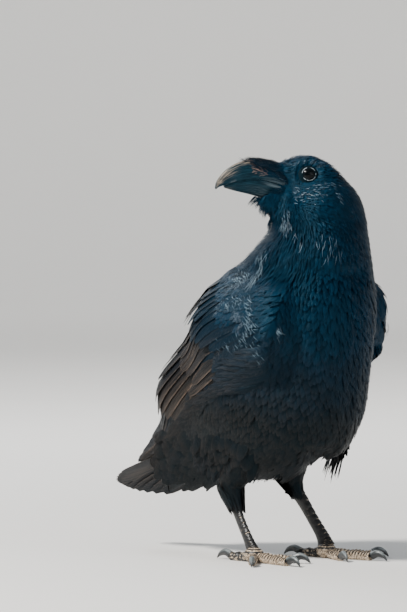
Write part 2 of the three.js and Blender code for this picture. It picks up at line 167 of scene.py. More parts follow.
def tag_points(mesh, tags):
    for name, values in tags.items():
        layer = mesh.attributes.new(name, "FLOAT", "POINT")
        layer.data.foreach_set("value", np.asarray(values, np.float32))


def tag_corners(mesh, name, per_point):
    """A UV map that gives each corner its point's place."""
    layer = mesh.uv_layers.new(name=name)
    owners = np.zeros(len(mesh.loops), np.int32)
    mesh.loops.foreach_get("vertex_index", owners)
    layer.data.foreach_set("uv", per_point[owners].astype(np.float32).ravel())


def tube(rings, capped=True):
    """Faces of a tube through equal rings of points, given as an array of rings."""
    count, around = rings.shape[:2]
    a = np.arange(count - 1)[:, None] * around + np.arange(around)
    b = np.arange(count - 1)[:, None] * around + (np.arange(around) + 1) % around
    faces = list(np.stack([a, b, b + around, a + around], -1).reshape(-1, 4))
    if capped:
        faces.append(np.arange(around)[::-1])
        faces.append((count - 1) * around + np.arange(around))
    return faces


def ring_piece(name, rings, material, smooth_angle=None, capped=True, unrolled=False, **tags):
    """A piece through rings of points, with tags for each ring, for each place round them, or for both.

    unrolled adds the map "Vane", which runs round each ring and along the piece.
    """
    piece = mesh_object(name, rings.reshape(-1, 3), tube(rings, capped), material, smooth_angle)
    shape = rings.shape[:2]
    tag_points(piece.data, {key: np.broadcast_to(value, shape).ravel() for key, value in tags.items()})
    if unrolled:
        around, along = np.meshgrid(*(np.linspace(0, 1, size) for size in shape[::-1]))
        tag_corners(piece.data, "Vane", np.stack([around, along], -1).reshape(-1, 2))
    return piece


# ---- finishes -----------------------------------------------------------------------------------
class Wire:
    """A value that runs from node to node of a material, for use in formulas."""

    def __init__(self, finish, socket):
        self.finish = finish
        self.socket = socket

    def __add__(self, other):
        return self.finish.math("ADD", self, other)

    def __sub__(self, other):
        return self.finish.math("SUBTRACT", self, other)

    def __mul__(self, other):
        return self.finish.math("MULTIPLY", self, other)

    def clamped(self):
        return self.finish.math("ADD", self, 0.0, clamp=True)

    def step(self, low, high):
        """0 where the value is at low, 1 where it is at high, and smooth between."""
        return self.finish.node("ShaderNodeMapRange", (self, low, high), interpolation_type="SMOOTHSTEP")


class Finish:
    """A material whose nodes are written as formulas."""

    def __init__(self, name, **constants):
        self.material = bpy.data.materials.new(name)
        self.material.use_nodes = True
        self.tree = self.material.node_tree
        self.shader = self.tree.nodes["Principled BSDF"]
        self.show(**constants)

    def put(self, socket, value):
        if isinstance(value, Wire):
            self.tree.links.new(value.socket, socket)
        else:
            socket.default_value = value

    def show(self, **sockets):
        for name, value in sockets.items():
            self.put(self.shader.inputs[name.replace("_", " ")], value)
        return self.material

    def node(self, kind, inputs=(), output=0, **settings):
        """A new node's output, from values for its inputs, by order or by name, and its settings."""
        made = self.tree.nodes.new(kind)
        for key, value in settings.items():
            setattr(made, key, value)
        named = inputs.items() if isinstance(inputs, dict) else enumerate(inputs)
        for key, value in named:
            self.put(made.inputs[key], value)
        return Wire(self, made.outputs[output])

    def math(self, operation, *values, clamp=False):
        return self.node("ShaderNodeMath", values, operation=operation, use_clamp=clamp)

    def mix(self, share, first, second):
        first, second = (c if isinstance(c, Wire) else (*c, 1.0) for c in (first, second))
        return self.node("ShaderNodeMix", {0: share, 6: first, 7: second}, 2, data_type="RGBA")

    def scaled(self, colour, by):
        return self.node("ShaderNodeVectorMath", {0: colour, "Scale": by}, operation="SCALE")

    def attribute(self, name):
        return self.node("ShaderNodeAttribute", output="Fac", attribute_name=name)

    def uv(self, name):
        """The two numbers of a UV map."""
        place = self.node("ShaderNodeUVMap", uv_map=name)
        return (self.node("ShaderNodeSeparateXYZ", (place,), k) for k in (0, 1))

    def vector(self, *values):
        return self.node("ShaderNodeCombineXYZ", values)

    def place(self):
        return self.node("ShaderNodeTexCoord", output="Object")

    def noise(self, scale, detail=3.0, vector=None, roughness=0.55):
        inputs = {"Scale": scale, "Detail": detail, "Roughness": roughness, "Vector": vector or self.place()}
        return self.node("ShaderNodeTexNoise", inputs, "Fac")

    def bump(self, height, distance, strength=1.0, below=None):
        inputs = {"Strength": strength, "Distance": distance, "Height": height}
        if below:
            inputs["Normal"] = below
        return self.node("ShaderNodeBump", inputs)

    def barbs(self, slant):
        """Across and along a vane, how far from its shaft, how far through its barbs, and their ripple."""
        across, along = self.uv("Vane")
        edge = self.math("ABSOLUTE", across * 2.0 - 1.0)
        count = self.attribute("barbs")
        phase = along * count - edge * count * slant
        return across, along, edge, phase, self.math("SINE", phase * math.tau) * 0.5 + 0.5


# Base colours, linear red, green and blue.
# Blue-black is partly the real gloss and partly a painted reflection of the sky on the upper parts.
BLUE_BLACK = (0.0001, 0.0125, 0.0290)
BROWN_BLACK = (0.0042, 0.0042, 0.0044)
WORN_BROWN = (0.075, 0.050, 0.036)
# The next two are painted highlights, on glossy and on worn feathers.
SILVER_HIGHLIGHT = (0.30, 0.38, 0.43)
BUFF_HIGHLIGHT = (0.42, 0.27, 0.21)
GLINT = (0.20, 0.30, 0.37)  # painted highlight: bare barbs where they catch the light
TAN_HIGHLIGHT = (0.40, 0.27, 0.22)  # painted tan highlight on bristles


def plumage(name, vane=True):
    """Black feathers, blue above (partly real gloss, partly painted sky reflection) and brown below, with
    barbs slanting off each shaft and painted highlights on some.
    """
    finish = Finish(name, Specular_IOR_Level=0.14, Specular_Tint=(0.34, 0.75, 1.0, 1.0))
    # Blue to brown by wear, which on the body coat also ends the painted sky reflection lower down.
    worn = finish.attribute("worn")
    earthy = (worn + (finish.noise(26.0) * 0.5 - 0.25)).clamped()
    colour = finish.mix(earthy, BLUE_BLACK, BROWN_BLACK)
    if not vane:
        relief = finish.bump(finish.noise(900.0, 2.0), 0.0004)
        return finish.show(Base_Color=colour, Roughness=0.62, Normal=relief)
    seed = finish.attribute("seed")
    _, along, edge, phase, ripple = finish.barbs(0.16)
    tip = along.step(0.55, 1.0) * (worn * 0.10)
    rim = edge.step(0.75, 1.0) * (worn * 0.08)
    colour = finish.mix((tip + rim).clamped(), finish.scaled(colour, seed * 0.55 + 0.72), WORN_BROWN)
    hairs = finish.noise(1.0, 2.0, finish.vector(phase * 0.9, seed, edge))
    # Painted highlights along the barbs: silver on glossy feathers, buff on worn ones.
    frost = finish.attribute("frost") * hairs.step(0.46, 0.60) * along.step(0.25, 0.7)
    colour = finish.mix(frost, colour, finish.mix(worn, SILVER_HIGHLIGHT, BUFF_HIGHLIGHT))
    strands = finish.noise(1.0, 2.0, finish.vector(phase * 0.55, seed, edge))
    relief = finish.bump(strands, 0.0004, 0.7, finish.bump(ripple, 0.00012, 0.5))
    return finish.show(Base_Color=colour, Roughness=strands * 0.26 + 0.30, Normal=relief)


def highlight_finish(name, tint):
    """Painted highlights: single barbs and bristles drawn pale where they catch the light."""
    finish = Finish(name, Specular_IOR_Level=0.28, Roughness=0.42)
    _, along = finish.uv("Vane")
    dark = (along.step(0.0, 0.35) * -1.0 + 1.0 + finish.attribute("seed") * 0.85).clamped()
    return finish.show(Base_Color=finish.mix(dark, tint, BLUE_BLACK))


def flight_plumage():
    """Stiff wing and tail feathers: glossy black at the root, sun-worn to brown towards the edges."""
    tint = (0.50, 0.82, 1.0, 1.0)
    finish = Finish("Raven flight feathers", Specular_IOR_Level=0.10, Specular_Tint=tint)
    seed = finish.attribute("seed")
    worn = finish.attribute("worn")
    across, along, edge, phase, ripple = finish.barbs(0.11)
    clumps = finish.noise(1.0, 3.0, finish.vector(phase * 0.30, seed, edge))
    streaks = finish.noise(1.0, 2.0, finish.vector(along * 3.0, seed, across * 26.0))
    sunned = worn * along.step(0.05, 0.75) * streaks.step(0.34, 0.72) * (edge.step(0.1, 0.9) * 0.6 + 0.4)
    black = finish.mix(worn, (0.0002, 0.0085, 0.0185), BROWN_BLACK)
    colour = finish.mix(sunned * 0.95, black, (0.098, 0.072, 0.056))
    rim = edge.step(0.80, 0.97) * (worn * 0.8 + 0.1) * clumps.step(0.38, 0.62)
    colour = finish.mix(rim * 0.7, colour, finish.mix(worn, (0.05, 0.08, 0.10), (0.21, 0.145, 0.105)))
    shaft = edge.step(0.10, 0.03)
    colour = finish.mix(shaft * 0.5, colour, (0.012, 0.011, 0.011))
    relief = finish.bump(clumps, 0.0006, 0.7, finish.bump(ripple, 0.00015, 0.5))
    return finish.show(Base_Color=colour, Roughness=clumps * 0.26 + 0.28, Normal=relief)


def horn():
    """The bill: black horn with a buff-worn tip and culmen, streaked along its length."""
    finish = Finish("Raven bill horn", Specular_IOR_Level=0.24, Specular_Tint=(0.40, 0.80, 1.0, 1.0))
    around, along = finish.uv("Vane")
    streaks = finish.noise(1.0, 4.0, finish.vector(along * 6.0, around * 44.0, 0.0), 0.7)
    flecks = finish.noise(420.0)
    bared = finish.attribute("worn") * streaks.step(0.49, 0.56)
    black = finish.mix(streaks.step(0.38, 0.66), (0.0002, 0.0050, 0.0100), (0.006, 0.026, 0.040))
    colour = finish.mix(bared, black, (0.46, 0.36, 0.27))
    # Painted highlights and reflections, streaked, along the mouth's edge.
    pale = finish.attribute("pale") * streaks.step(0.30, 0.60)
    colour = finish.mix(pale * 0.7, colour, (0.26, 0.30, 0.32))
    rough = bared * 0.22 + (flecks * 0.18 + 0.28)
    relief = finish.bump(streaks, 0.0006, 0.65, finish.bump(flecks, 0.0003, 0.5))
    return finish.show(Base_Color=colour, Roughness=rough, Normal=relief)


def eye_surface():
    """A near-black pupil in a dark brown iris, under a wet cornea."""
    wet = dict(Coat_Weight=0.28, Coat_Roughness=0.03, Coat_IOR=1.35)
    finish = Finish("Raven eye", Specular_IOR_Level=0.05, Roughness=0.25, **wet)
    off = finish.attribute("off")
    iris = finish.mix(finish.noise(500.0, 2.0), (0.0014, 0.0042, 0.0062), (0.0030, 0.0052, 0.0070))
    colour = finish.mix(off.step(0.50, 0.44), iris, (0.0004, 0.0014, 0.0022))
    return finish.show(Base_Color=finish.mix(off.step(0.70, 0.78), colour, (0.002, 0.006, 0.009)))


def lid_skin():
    """Bare black skin round the eye, with a painted highlight broken along the edge of the lids."""
    tint = (0.4, 0.8, 1.0, 1.0)
    finish = Finish("Raven eyelid", Specular_IOR_Level=0.12, Specular_Tint=tint, Roughness=0.5)
    # A painted highlight, broken by noise.
    pale = finish.attribute("pale") * finish.noise(260.0, 2.0).step(0.44, 0.55)
    colour = finish.mix(pale, (0.001, 0.006, 0.010), (0.60, 0.68, 0.72))
    return finish.show(Base_Color=colour, Normal=finish.bump(finish.noise(900.0, 4.0), 0.0008))


def scaled_skin():
    """Black scutes with dusty tan between them, and tan pads."""
    finish = Finish("Raven leg scales", Specular_IOR_Level=0.42)
    dust = finish.noise(300.0, 4.0)
    ragged = dust * 1.6 - 0.80
    black = finish.mix(finish.noise(160.0), (0.006, 0.007, 0.008), (0.024, 0.024, 0.025))
    tan = finish.mix(dust.step(0.3, 0.7), (0.36, 0.26, 0.17), (0.74, 0.60, 0.45))
    seam = finish.attribute("plate").step(0.75, 0.25) * finish.attribute("seams")
    cover = (finish.math("MAXIMUM", seam, finish.attribute("dusty")) + ragged).step(0.30, 0.56)
    bars = (finish.attribute("bars") + ragged).step(0.30, 0.62)
    colour = finish.mix(bars, finish.mix(cover, black, tan), (0.010, 0.010, 0.011))
    pebbles = finish.node(
        "ShaderNodeTexVoronoi", {"Scale": 760.0, "Vector": finish.place()}, "Distance"
    )
    colour = finish.mix(pebbles.step(0.48, 0.66) * 0.75, colour, (0.010, 0.010, 0.011))
    relief = finish.bump(dust, 0.0005, 0.5, finish.bump(pebbles * -1.0, 0.0005, 0.45))
    return finish.show(Base_Color=colour, Roughness=cover * 0.26 + 0.36, Normal=relief)


def claw_horn():
    """Grey-black claws with a painted pale sheen along the back, dark at the points."""
    finish = Finish(
        "Raven claw horn", Specular_IOR_Level=0.5, Coat_Weight=0.2, Coat_Roughness=0.25, Roughness=0.36
    )
    around, along = finish.uv("Vane")
    streaks = finish.noise(1.0, 3.0, finish.vector(along * 3.0, around * 22.0, 0.0))
    # Painted sheen along the top of the claw, fading out towards the point.
    pale = finish.attribute("top") * along.step(1.0, 0.55) * streaks.step(0.30, 0.62)
    colour = finish.mix(pale * 0.75, (0.010, 0.012, 0.014), (0.30, 0.34, 0.35))
    return finish.show(Base_Color=colour, Normal=finish.bump(streaks, 0.0004, 0.5))


# ---- skin ---------------------------------------------------------------------------------------
BODY = ["trunk", "wing_left_coverts", "wing_right_coverts", "neck"]
HEAD = ["neck", "head"]
THIGH_NODES = ["thigh_left", "thigh_right"]
PARTS = {"trunk": 0, "neck": 1, "head": 2, "thigh_left": 3, "thigh_right": 4}
THIGHS = (3, 4)
ARM = 5  # the label of both folded arms
SWELL = 0.35  # closes the thin gaps between the solids before they are joined
CLOSING = 17.0  # creases narrower than twice this are filled, as the plumage fills them
HEAD_CLOSING = 8.0  # and on the neck and head
VOXEL = 1.9
SMOOTHINGS = 14
TRUNK_DEPTH, ARM_DEPTH, NECK_DEPTH, HEAD_DEPTH, THIGH_DEPTH = 3.2, 2.2, 2.4, 1.7, 1.4
FACE_THINNER = 1.2  # how much thinner the coat is on the face


def mesh_arrays(mesh):
    """The points and triangles of a mesh."""
    points = np.zeros(len(mesh.vertices) * 3, np.float32)
    mesh.vertices.foreach_get("co", points)
    mesh.calc_loop_triangles()
    triangles = np.zeros(len(mesh.loop_triangles) * 3, np.int32)
    mesh.loop_triangles.foreach_get("vertices", triangles)
    return points.reshape(-1, 3), triangles.reshape(-1, 3)


def solid_arrays(name):
    """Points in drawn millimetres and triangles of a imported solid."""
    points, triangles = mesh_arrays(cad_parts[name].data)
    points, index = np.unique(points.round(6), axis=0, return_inverse=True)
    return drawn(points.astype(float)), index.reshape(-1)[triangles]


def point_normals(points, triangles):
    a, b, c = (points[triangles[:, k]] for k in range(3))
    facing = np.cross(b - a, c - a)
    normals = np.zeros_like(points)
    for k in range(3):
        np.add.at(normals, triangles[:, k], facing)
    return unit(normals)


def gathered(names, swell):
    """The named solids, swollen, as one set of points and triangles, with each triangle's part."""
    points, triangles, labels, count = [], [], [], 0
    for name in names:
        p, t = solid_arrays(name)
        points.append(p + swell * point_normals(p, t))
        triangles.append(t + count)
        labels.append(np.full(len(t), PARTS.get(name, ARM)))
        count += len(p)
    return np.concatenate(points), np.concatenate(triangles), np.concatenate(labels)


def remeshed(points, triangles, voxel, rounds):
    """One smooth closed surface round the given ones."""
    mesh = bpy.data.meshes.new("joined")
    mesh.from_pydata(points.tolist(), [], triangles.tolist())
    piece = linked("joined", mesh)
    remesh = piece.modifiers.new("remesh", "REMESH")
    remesh.mode = "VOXEL"
    remesh.voxel_size = voxel
    smoothing = piece.modifiers.new("smooth", "SMOOTH")
    smoothing.factor = 0.5
    smoothing.iterations = rounds
    made = bpy.data.meshes.new_from_object(piece.evaluated_get(bpy.context.evaluated_depsgraph_get()))
    points, triangles = mesh_arrays(made)
    bpy.data.objects.remove(piece)
    for spare in (made, mesh):
        bpy.data.meshes.remove(spare)
    return points.astype(float), triangles


def surface(points, triangles):
    return BVHTree.FromPolygons(points.tolist(), triangles.tolist())


def point_tree(points):
    tree = KDTree(len(points))
    for i, p in enumerate(points):
        tree.insert(p, i)
    tree.balance()
    return tree


def nearest(tree, points):
    """The nearest place, normal and face number on a surface for each point."""
    places, normals, faces, _ = zip(*(tree.find_nearest(Vector(p)) for p in points))
    return np.array(places), np.array(normals), np.array(faces)


def coat_depth(points, part):
    """How far the skin lies inside the plumage."""
    face = ease(-34, 20, head_place(points)[0])
    places = [part == PARTS["neck"], part == PARTS["head"], part == ARM, np.isin(part, THIGHS)]
    depths = [NECK_DEPTH, HEAD_DEPTH - FACE_THINNER * face, ARM_DEPTH, THIGH_DEPTH]
    return np.select(places, depths, TRUNK_DEPTH)


def closed(names, reach, voxel, rounds):
    """The named solids joined, swollen, smoothed and shrunk again, which fills the creases between them."""
    points, triangles = remeshed(*gathered(names, reach)[:2], voxel, rounds)
    return points - reach * point_normals(points, triangles), triangles


source_points, source_triangles, source_labels = gathered(BODY + ["head"] + THIGH_NODES, 0.0)
source_tree = surface(source_points, source_triangles)
body_points, body_triangles = closed(BODY, CLOSING, 3.0, 10)
head_points, head_triangles = closed(HEAD, HEAD_CLOSING, 2.2, 5)
limb_points, limb_triangles, _ = gathered(THIGH_NODES, SWELL)
after_head = len(body_points) + len(head_points)
skin_points, skin_triangles = remeshed(
    np.concatenate([body_points, head_points, limb_points]),
    np.concatenate([body_triangles, head_triangles + len(body_points), limb_triangles + after_head]),
    VOXEL,
    SMOOTHINGS,
)
skin_part = source_labels[nearest(source_tree, skin_points)[2]]


def relaxed(values, triangles, rounds):
    """The values averaged over their neighbours, round after round."""
    for _ in range(rounds):
        total, count = values.copy(), np.ones(len(values))
        for a, b in ((0, 1), (1, 2), (2, 0)):
            np.add.at(total, triangles[:, a], values[triangles[:, b]])
            np.add.at(count, triangles[:, a], 1)
        values = total / count
    return values


BILL_SEAT = [14, 24, 36, 48]  # places ahead of the eyes where the seat of the bill is measured


def jaw(points):
    """The skin with its jaw no wider than the bill that comes out of it."""
    forward, left, up = head_place(points)
    half = np.interp(forward, BILL_SEAT, [11.4, 10.8, 9.4, 7.6])
    tuck = ease(16, 27, forward) * ease(-44, -30, up) * ease(0, -8, up)
    narrow = np.minimum(1, half / np.maximum(np.abs(left), 1e-6))  # 1 where it is no wider
    return points + HEAD_LEFT * (left * (narrow - 1) * tuck)[:, None]


# Places where the plumage is fuller than the flesh: centre, reach and how much.
FULLER = [
    ((74.0, -61.0, 266.0), 34.0, 7.5),
    ((-48.0, 26.0, 294.0), 30.0, 3.0),
    ((36.0, -64.0, 350.0), 48.0, 2.0),
    ((71.0, -51.0, 186.0), 26.0, 3.0),
]


def shaped(points, normals):
    """The skin with a slimmer chin, a fuller far shoulder and a belly drawn up beside the far thigh."""
    forward, _, up = head_place(points)
    chin = ease(30, 40, forward) * ease(-26, -38, up) * ease(-70, -54, up)
    points = points - BILLWARD * (6.0 * chin)[:, None]
    for centre, reach, amount in FULLER:
        away = np.linalg.norm(points - np.array(centre), axis=1)
        points = points + normals * (amount * ease(reach, 0.15 * reach, away))[:, None]
    abreast, height = points[:, 0] - points[:, 1], points[:, 2]
    drawn_up = ease(16, 34, abreast) * ease(76, 54, abreast) * ease(120, 100, height) * ease(80, 90, height)
    return points + UP * (10.0 * drawn_up)[:, None]


def softened(points, triangles):
    """The skin with no ledge where the head meets the neck."""
    forward, _, up = head_place(points)
    band = ease(24, 8, np.abs(up + 44)) * ease(34, 24, forward)
    smooth = np.stack([relaxed(line, triangles, 25) for line in points.T], -1)
    return points + (smooth - points) * band[:, None]


skin_points = jaw(skin_points)
skin_points = shaped(skin_points, point_normals(skin_points, skin_triangles))
skin_points = softened(skin_points, skin_triangles)
depths = relaxed(coat_depth(skin_points, skin_part), skin_triangles, 12)
skin_points = skin_points - depths[:, None] * point_normals(skin_points, skin_triangles)
skin_normals = point_normals(skin_points, skin_triangles)
skin_tree = surface(skin_points, skin_triangles)
# How far the coat reaches out from the skin: to the flesh's outline, and at least as far as the skin
# was set in.
rooms = np.sum((nearest(source_tree, skin_points)[0] - skin_points) * skin_normals, -1)
rooms = relaxed(np.clip(rooms, depths, depths + 3.0), skin_triangles, 16)


# ---- markings -----------------------------------------------------------------------------------
def wear_and_sky_tint(points):
    """0 where the plumage is blue-black, partly real gloss and partly a painted reflection of the sky, 1
    where it is brown-black.
    """
    return 0.06 + 0.94 * ease(265, 120, points[..., 2] + 0.25 * points[..., 0])


def skin_piece():
    piece = mesh_object("skin", skin_points, list(skin_triangles), plumage("Raven skin", vane=False))
    tag_points(piece.data, {"worn": wear_and_sky_tint(skin_points)})
    return belongs(piece, "plumage", "trunk", "neck", "head", "thigh_left", "thigh_right")


# ---- vanes --------------------------------------------------------------------------------------
SOFT = np.array([-1, -0.5, 0, 0.5, 1])  # the columns of a contour feather
STIFF = np.array([-1, -0.55, -0.08, 0, 0.08, 0.55, 1])  # and of a flight feather, with its shaft
NARROW = np.array([-1.0, 0.0, 1.0])  # and of a bristle
PATCH = 0.003  # size of a tuft on the baking map
BARB_SPACING, FLIGHT_BARB_SPACING = 0.7, 0.8
SHAFT_WIDE = 0.06  # of a flight feather's shaft, as a share of the vane's half-width


def vane_faces(rows, columns):
    """Corners and face sizes of one closed vane: a grid above, a middle line below, and two ends."""
    below = rows * columns
    quads = []
    for i in range(rows - 1):
        for j in range(columns - 1):
            a = i * columns + j
            quads.append((a, a + 1, a + columns + 1, a + columns))
        left, right = i * columns, (i + 1) * columns - 1
        quads.append((left, left + columns, below + i + 1, below + i))
        quads.append((below + i, below + i + 1, right + columns, right))
    root = [below] + list(range(columns))[::-1]
    tip = list(range((rows - 1) * columns, rows * columns)) + [below + rows - 1]
    corners = np.concatenate([np.ravel(quads), root, tip])
    return corners, np.array([4] * len(quads) + [columns + 1] * 2)


def vanes(name, shafts, outs, halves, material, tags, bake, columns=SOFT, camber=0.22, thick=0.25,
          ragged=0.0, rachis=0.0, lopsided=0.0, lean=0.0):
    """Many closed vanes as one piece.

    shafts, outs (vanes, rows, 3) are points along each shaft and the way out there, halves (vanes, rows)
    the half-widths, tags a value for each vane, and bake its place (and patch size) on the baking map.
    lean is how steeply each vane rises from its one edge to the other.
    """
    count, rows = halves.shape
    wide = len(columns)
    share = np.linspace(0, 1, rows)
    ahead = unit(np.gradient(shafts, axis=1))
    side = unit(np.cross(ahead, outs))
    jitter = 1 + ragged * rng.normal(size=(count, rows, 2))
    skew = 1 + lopsided * np.sign(columns)
    reach = np.where(columns < 0, jitter[..., :1], jitter[..., 1:]) * halves[..., None] * columns * skew
    rise = -camber * np.abs(reach) * np.abs(columns)
    ridge = np.exp(-((columns / SHAFT_WIDE) ** 2)) * rachis * (1.1 - share)[:, None]
    rise = rise + ridge + np.asarray(lean).reshape(-1, 1, 1) * reach
    top = shafts[:, :, None] + side[:, :, None] * reach[..., None] + outs[:, :, None] * rise[..., None]
    under = shafts - outs * (thick * (1.15 - share))[None, :, None]
    points = np.concatenate([top.reshape(count, -1, 3), under], 1)
    each = points.shape[1]
    corners, sizes = vane_faces(rows, wide)
    corners = (np.arange(count)[:, None] * each + corners).ravel()
    mesh = bpy.data.meshes.new(name)
    piece = finish_mesh(mesh, points.reshape(-1, 3), corners, np.tile(sizes, count), material, 50)
    u = np.concatenate([np.tile((columns + 1) / 2, rows), np.full(rows, 0.5)])
    v = np.concatenate([np.repeat(share, wide), share])
    local = np.stack([u, v], -1)
    tag_corners(mesh, "Vane", np.tile(local, (count, 1)))
    spots, size = bake
    patches = spots[:, None] + (local - 0.5) * size
    tag_corners(mesh, "OFBake", patches.reshape(-1, 2))
    tag_points(mesh, {key: np.repeat(value, each) for key, value in tags.items()})
    return piece


def outline(rows, rootward, tipward):
    """Half-widths along a vane, 1 at its widest. A low tipward rounds the tip, a high one draws it out."""
    share = np.linspace(0, 1, rows)
    shape = (share + 0.04) ** rootward * (1.012 - share) ** tipward
    return shape / shape.max()


def feather_tags(lengths, worn, frost, power=2):
    """What the plumage finish reads of each feather. The painted highlight is given at its strongest."""
    count = len(lengths)
    return {
        "seed": rng.random(count),
        "worn": np.broadcast_to(worn, count),
        "barbs": lengths / BARB_SPACING,
        "frost": frost * rng.random(count) ** power,
    }


# ---- coat ---------------------------------------------------------------------------------------
BILL_BASE = in_head(30, -6)
UP_AND_BACK, FORWARD_AND_UP = np.array([0, 0.8, 0.6]), np.array([0, -0.8, 0.6])
COAT_ROWS, OUTER_ROW = 7, 4  # the rows of a coat feather, and the one that meets the bird's outline
TRIES, CLOSEST = 4.5, 0.86  # places tried for each root, and the least gap as a share of the spacing
EYES = [drawn(centre * MM) for centre in eye_centres.values()]


def from_eyes(points):
    """How far points are from the nearer eye."""
    return np.minimum(*(np.linalg.norm(points - eye, axis=1) for eye in EYES))


def nasal(points):
    """1 on the bristles over the root of the bill, which point forwards."""
    forward, _, up = head_place(points)
    return ease(21, 29, forward) * ease(-12, -6, up)


def flow(points, part):
    """The way the feathers lie: back from the bill, down the neck, and back along the body."""
    forward, _, up = head_place(points)
    x, y, z = points.T
    nape = ease(-8, -44, forward)
    low = ease(-18, -60, up)
    head = -BILLWARD + DOWN * (0.28 + 1.5 * nape + 1.2 * low)[:, None]
    rearward = 0.16 + 0.6 * ease(-70, 90, y) + 0.9 * ease(150, 84, z) + 0.6 * ease(60, 150, y)
    body = DOWN + BACKWARD * rearward[:, None]
    body[:, 0] += 0.004 * x * ease(40, -60, y)
    body = np.where((part == ARM)[:, None], DOWN + BACKWARD * 0.95, body)
    on_head = np.where(part == PARTS["head"], 1.0, ease(306, 350, z))[:, None]
    way = unit(head) * on_head + unit(body) * (1 - on_head)
    tuft = nasal(points)[:, None]
    way = way * (1 - tuft) + (BILLWARD + DOWN * 0.16) * tuft
    chin = (ease(14, 34, forward) * ease(-12, -20, up) * ease(-62, -34, up))[:, None]
    way = way * (1 - chin) + (BILLWARD * 0.30 + DOWN * 0.95) * chin
    way = np.where(np.isin(part, THIGHS)[:, None], DOWN + BACKWARD * 0.35, way)
    for eye in EYES:
        away = points - eye
        near = ease(20, 9, np.linalg.norm(away, axis=1))[:, None]
        way = way + unit(away) * near * 1.6
    return unit(way)


def flattened(way, normals):
    return unit(way - normals * np.sum(way * normals, -1, keepdims=True))


def spacing(points, part):
    """How far apart the feathers' roots are."""
    distance = np.linalg.norm(points - BILL_BASE, axis=-1)
    apart = 1.4 + 3.3 * ease(16, 170, distance)
    legs = 2.2 + 1.3 * ease(58, 100, points[..., 2])
    apart = np.where(np.isin(part, THIGHS), legs, apart)
    return apart * (1 - 0.2 * nasal(points))


def scatter(points, triangles, normals, part):
    """Roots over the skin, evenly spread at their spacing."""
    corners = points[triangles]
    area = np.linalg.norm(np.cross(corners[:, 1] - corners[:, 0], corners[:, 2] - corners[:, 0]), axis=1) / 2
    middle_part = part[triangles[:, 0]]
    weight = area / spacing(corners.mean(1), middle_part) ** 2
    tries = int(weight.sum() * TRIES)
    chosen = rng.choice(len(triangles), tries, p=weight / weight.sum())
    a, b = rng.random((2, tries))
    flip = a + b > 1
    a, b = np.where(flip, 1 - a, a), np.where(flip, 1 - b, b)
    share = np.stack([1 - a - b, a, b], -1)[..., None]
    found = (corners[chosen] * share).sum(1)
    facing = unit((normals[triangles[chosen]] * share).sum(1))
    label = middle_part[chosen]
    apart = spacing(found, label)
    tree = point_tree(found)
    free = np.ones(tries, bool)
    kept = []
    for i in range(tries):
        if free[i]:
            kept.append(i)
            for _, j, _ in tree.find_range(found[i], apart[i] * CLOSEST):
                free[j] = False
    kept = np.array(kept)
    return found[kept], facing[kept], label[kept], apart[kept]


def walked(roots, facing, part, lengths, turn, stiff):
    """Points along each feather and the ways out there, following the lie of the coat over the skin.

    stiff is how far each feather keeps straight on where the skin curves away from it.
    """
    steps = COAT_ROWS - 1
    at, out = roots, facing
    places, outs = [at], [out]
    way = flattened(flow(at, part), out)
    way = unit(way + np.cross(out, way) * turn[:, None])
    first = way
    for i in range(steps):
        at, out, _ = nearest(skin_tree, at + way * (lengths / steps)[:, None])
        onward = flattened(flow(at, part), out)
        way = flattened(0.35 * way + 0.65 * onward, out)
        straight = roots + first * (lengths * (i + 1) / steps)[:, None] - at
        lift = np.maximum(np.sum(straight * out, -1), 0) * stiff
        places.append(at + out * lift[:, None])
        outs.append(out)
    outs = np.stack(outs, 1)
    outs[:, 1:-1] = outs[:, :-2] + 2 * outs[:, 1:-1] + outs[:, 2:]
    return np.stack(places, 1), unit(outs)


def coat_room(points):
    """How far the coat reaches out from places on the skin."""
    face = nearest(skin_tree, points)[2]
    return rooms[skin_triangles[face]].mean(1)


def in_bill(points, grow=0.6):
    """Whether points of the skin are down in the seat of the bill."""
    forward, left, up = head_place(points)
    top = np.interp(forward, BILL_SEAT, [4, 9, 12.5, 14.5])
    keel = np.interp(forward, BILL_SEAT, [-26, -25.5, -23.5, -21])
    half = np.interp(forward, BILL_SEAT, [12.6, 12.3, 11.3, 9.7])
    high = (up - (top + keel) / 2) / ((top - keel) / 2 + grow)
    return ((left / (half + grow)) ** 2 + high**2 < 1) & (forward > 13)


def unwrapped(points, origin, axis, sideways):
    """Each point's place on the skin cut open along its back: the angle round an axis, and the way along."""
    away = points - origin
    angle = np.arctan2(away @ np.cross(axis, sideways), away @ sideways) / math.tau + 0.5
    along = away @ axis
    span = max(np.ptp(along), 1e-6)
    return 0.01 + 0.98 * np.stack([angle, (along - along.min()) / span], -1)


# Painted highlights on both sides of the head and neck, where the bare barbs of loosened feathers catch the
# light.
HIGHLIT_SPOTS = [
    # ahead of the eyes, above them, off the head's middle; reach and strength
    (22, 13, 12, 4, 0.7), (13, 13, 14, 4, 1.0), (4, 13, 15, 4, 1.1), (-5, 12, 16, 4, 1.0),
    (-12, 10, 18, 4, 0.7), (-4, -17, 26, 6, 0.8), (-14, -14, 27, 6, 0.8), (-19, -22, 28, 7, 0.9),
    (8, -24, 22, 7, 0.9), (-6, -27, 26, 7, 0.8), (14, -15, 20, 5, 0.6), (22, -38, 17, 6, 0.8),
    (17, -47, 19, 7, 0.8), (13, -55, 20, 6, 0.7), (-8, -68, 30, 7, 0.8), (-14, -78, 32, 7, 0.6),
    (6, -66, 26, 6, 0.4), (38, -76, 10, 3, 1.0), (-34, -40, 26, 6, 0.12),
]
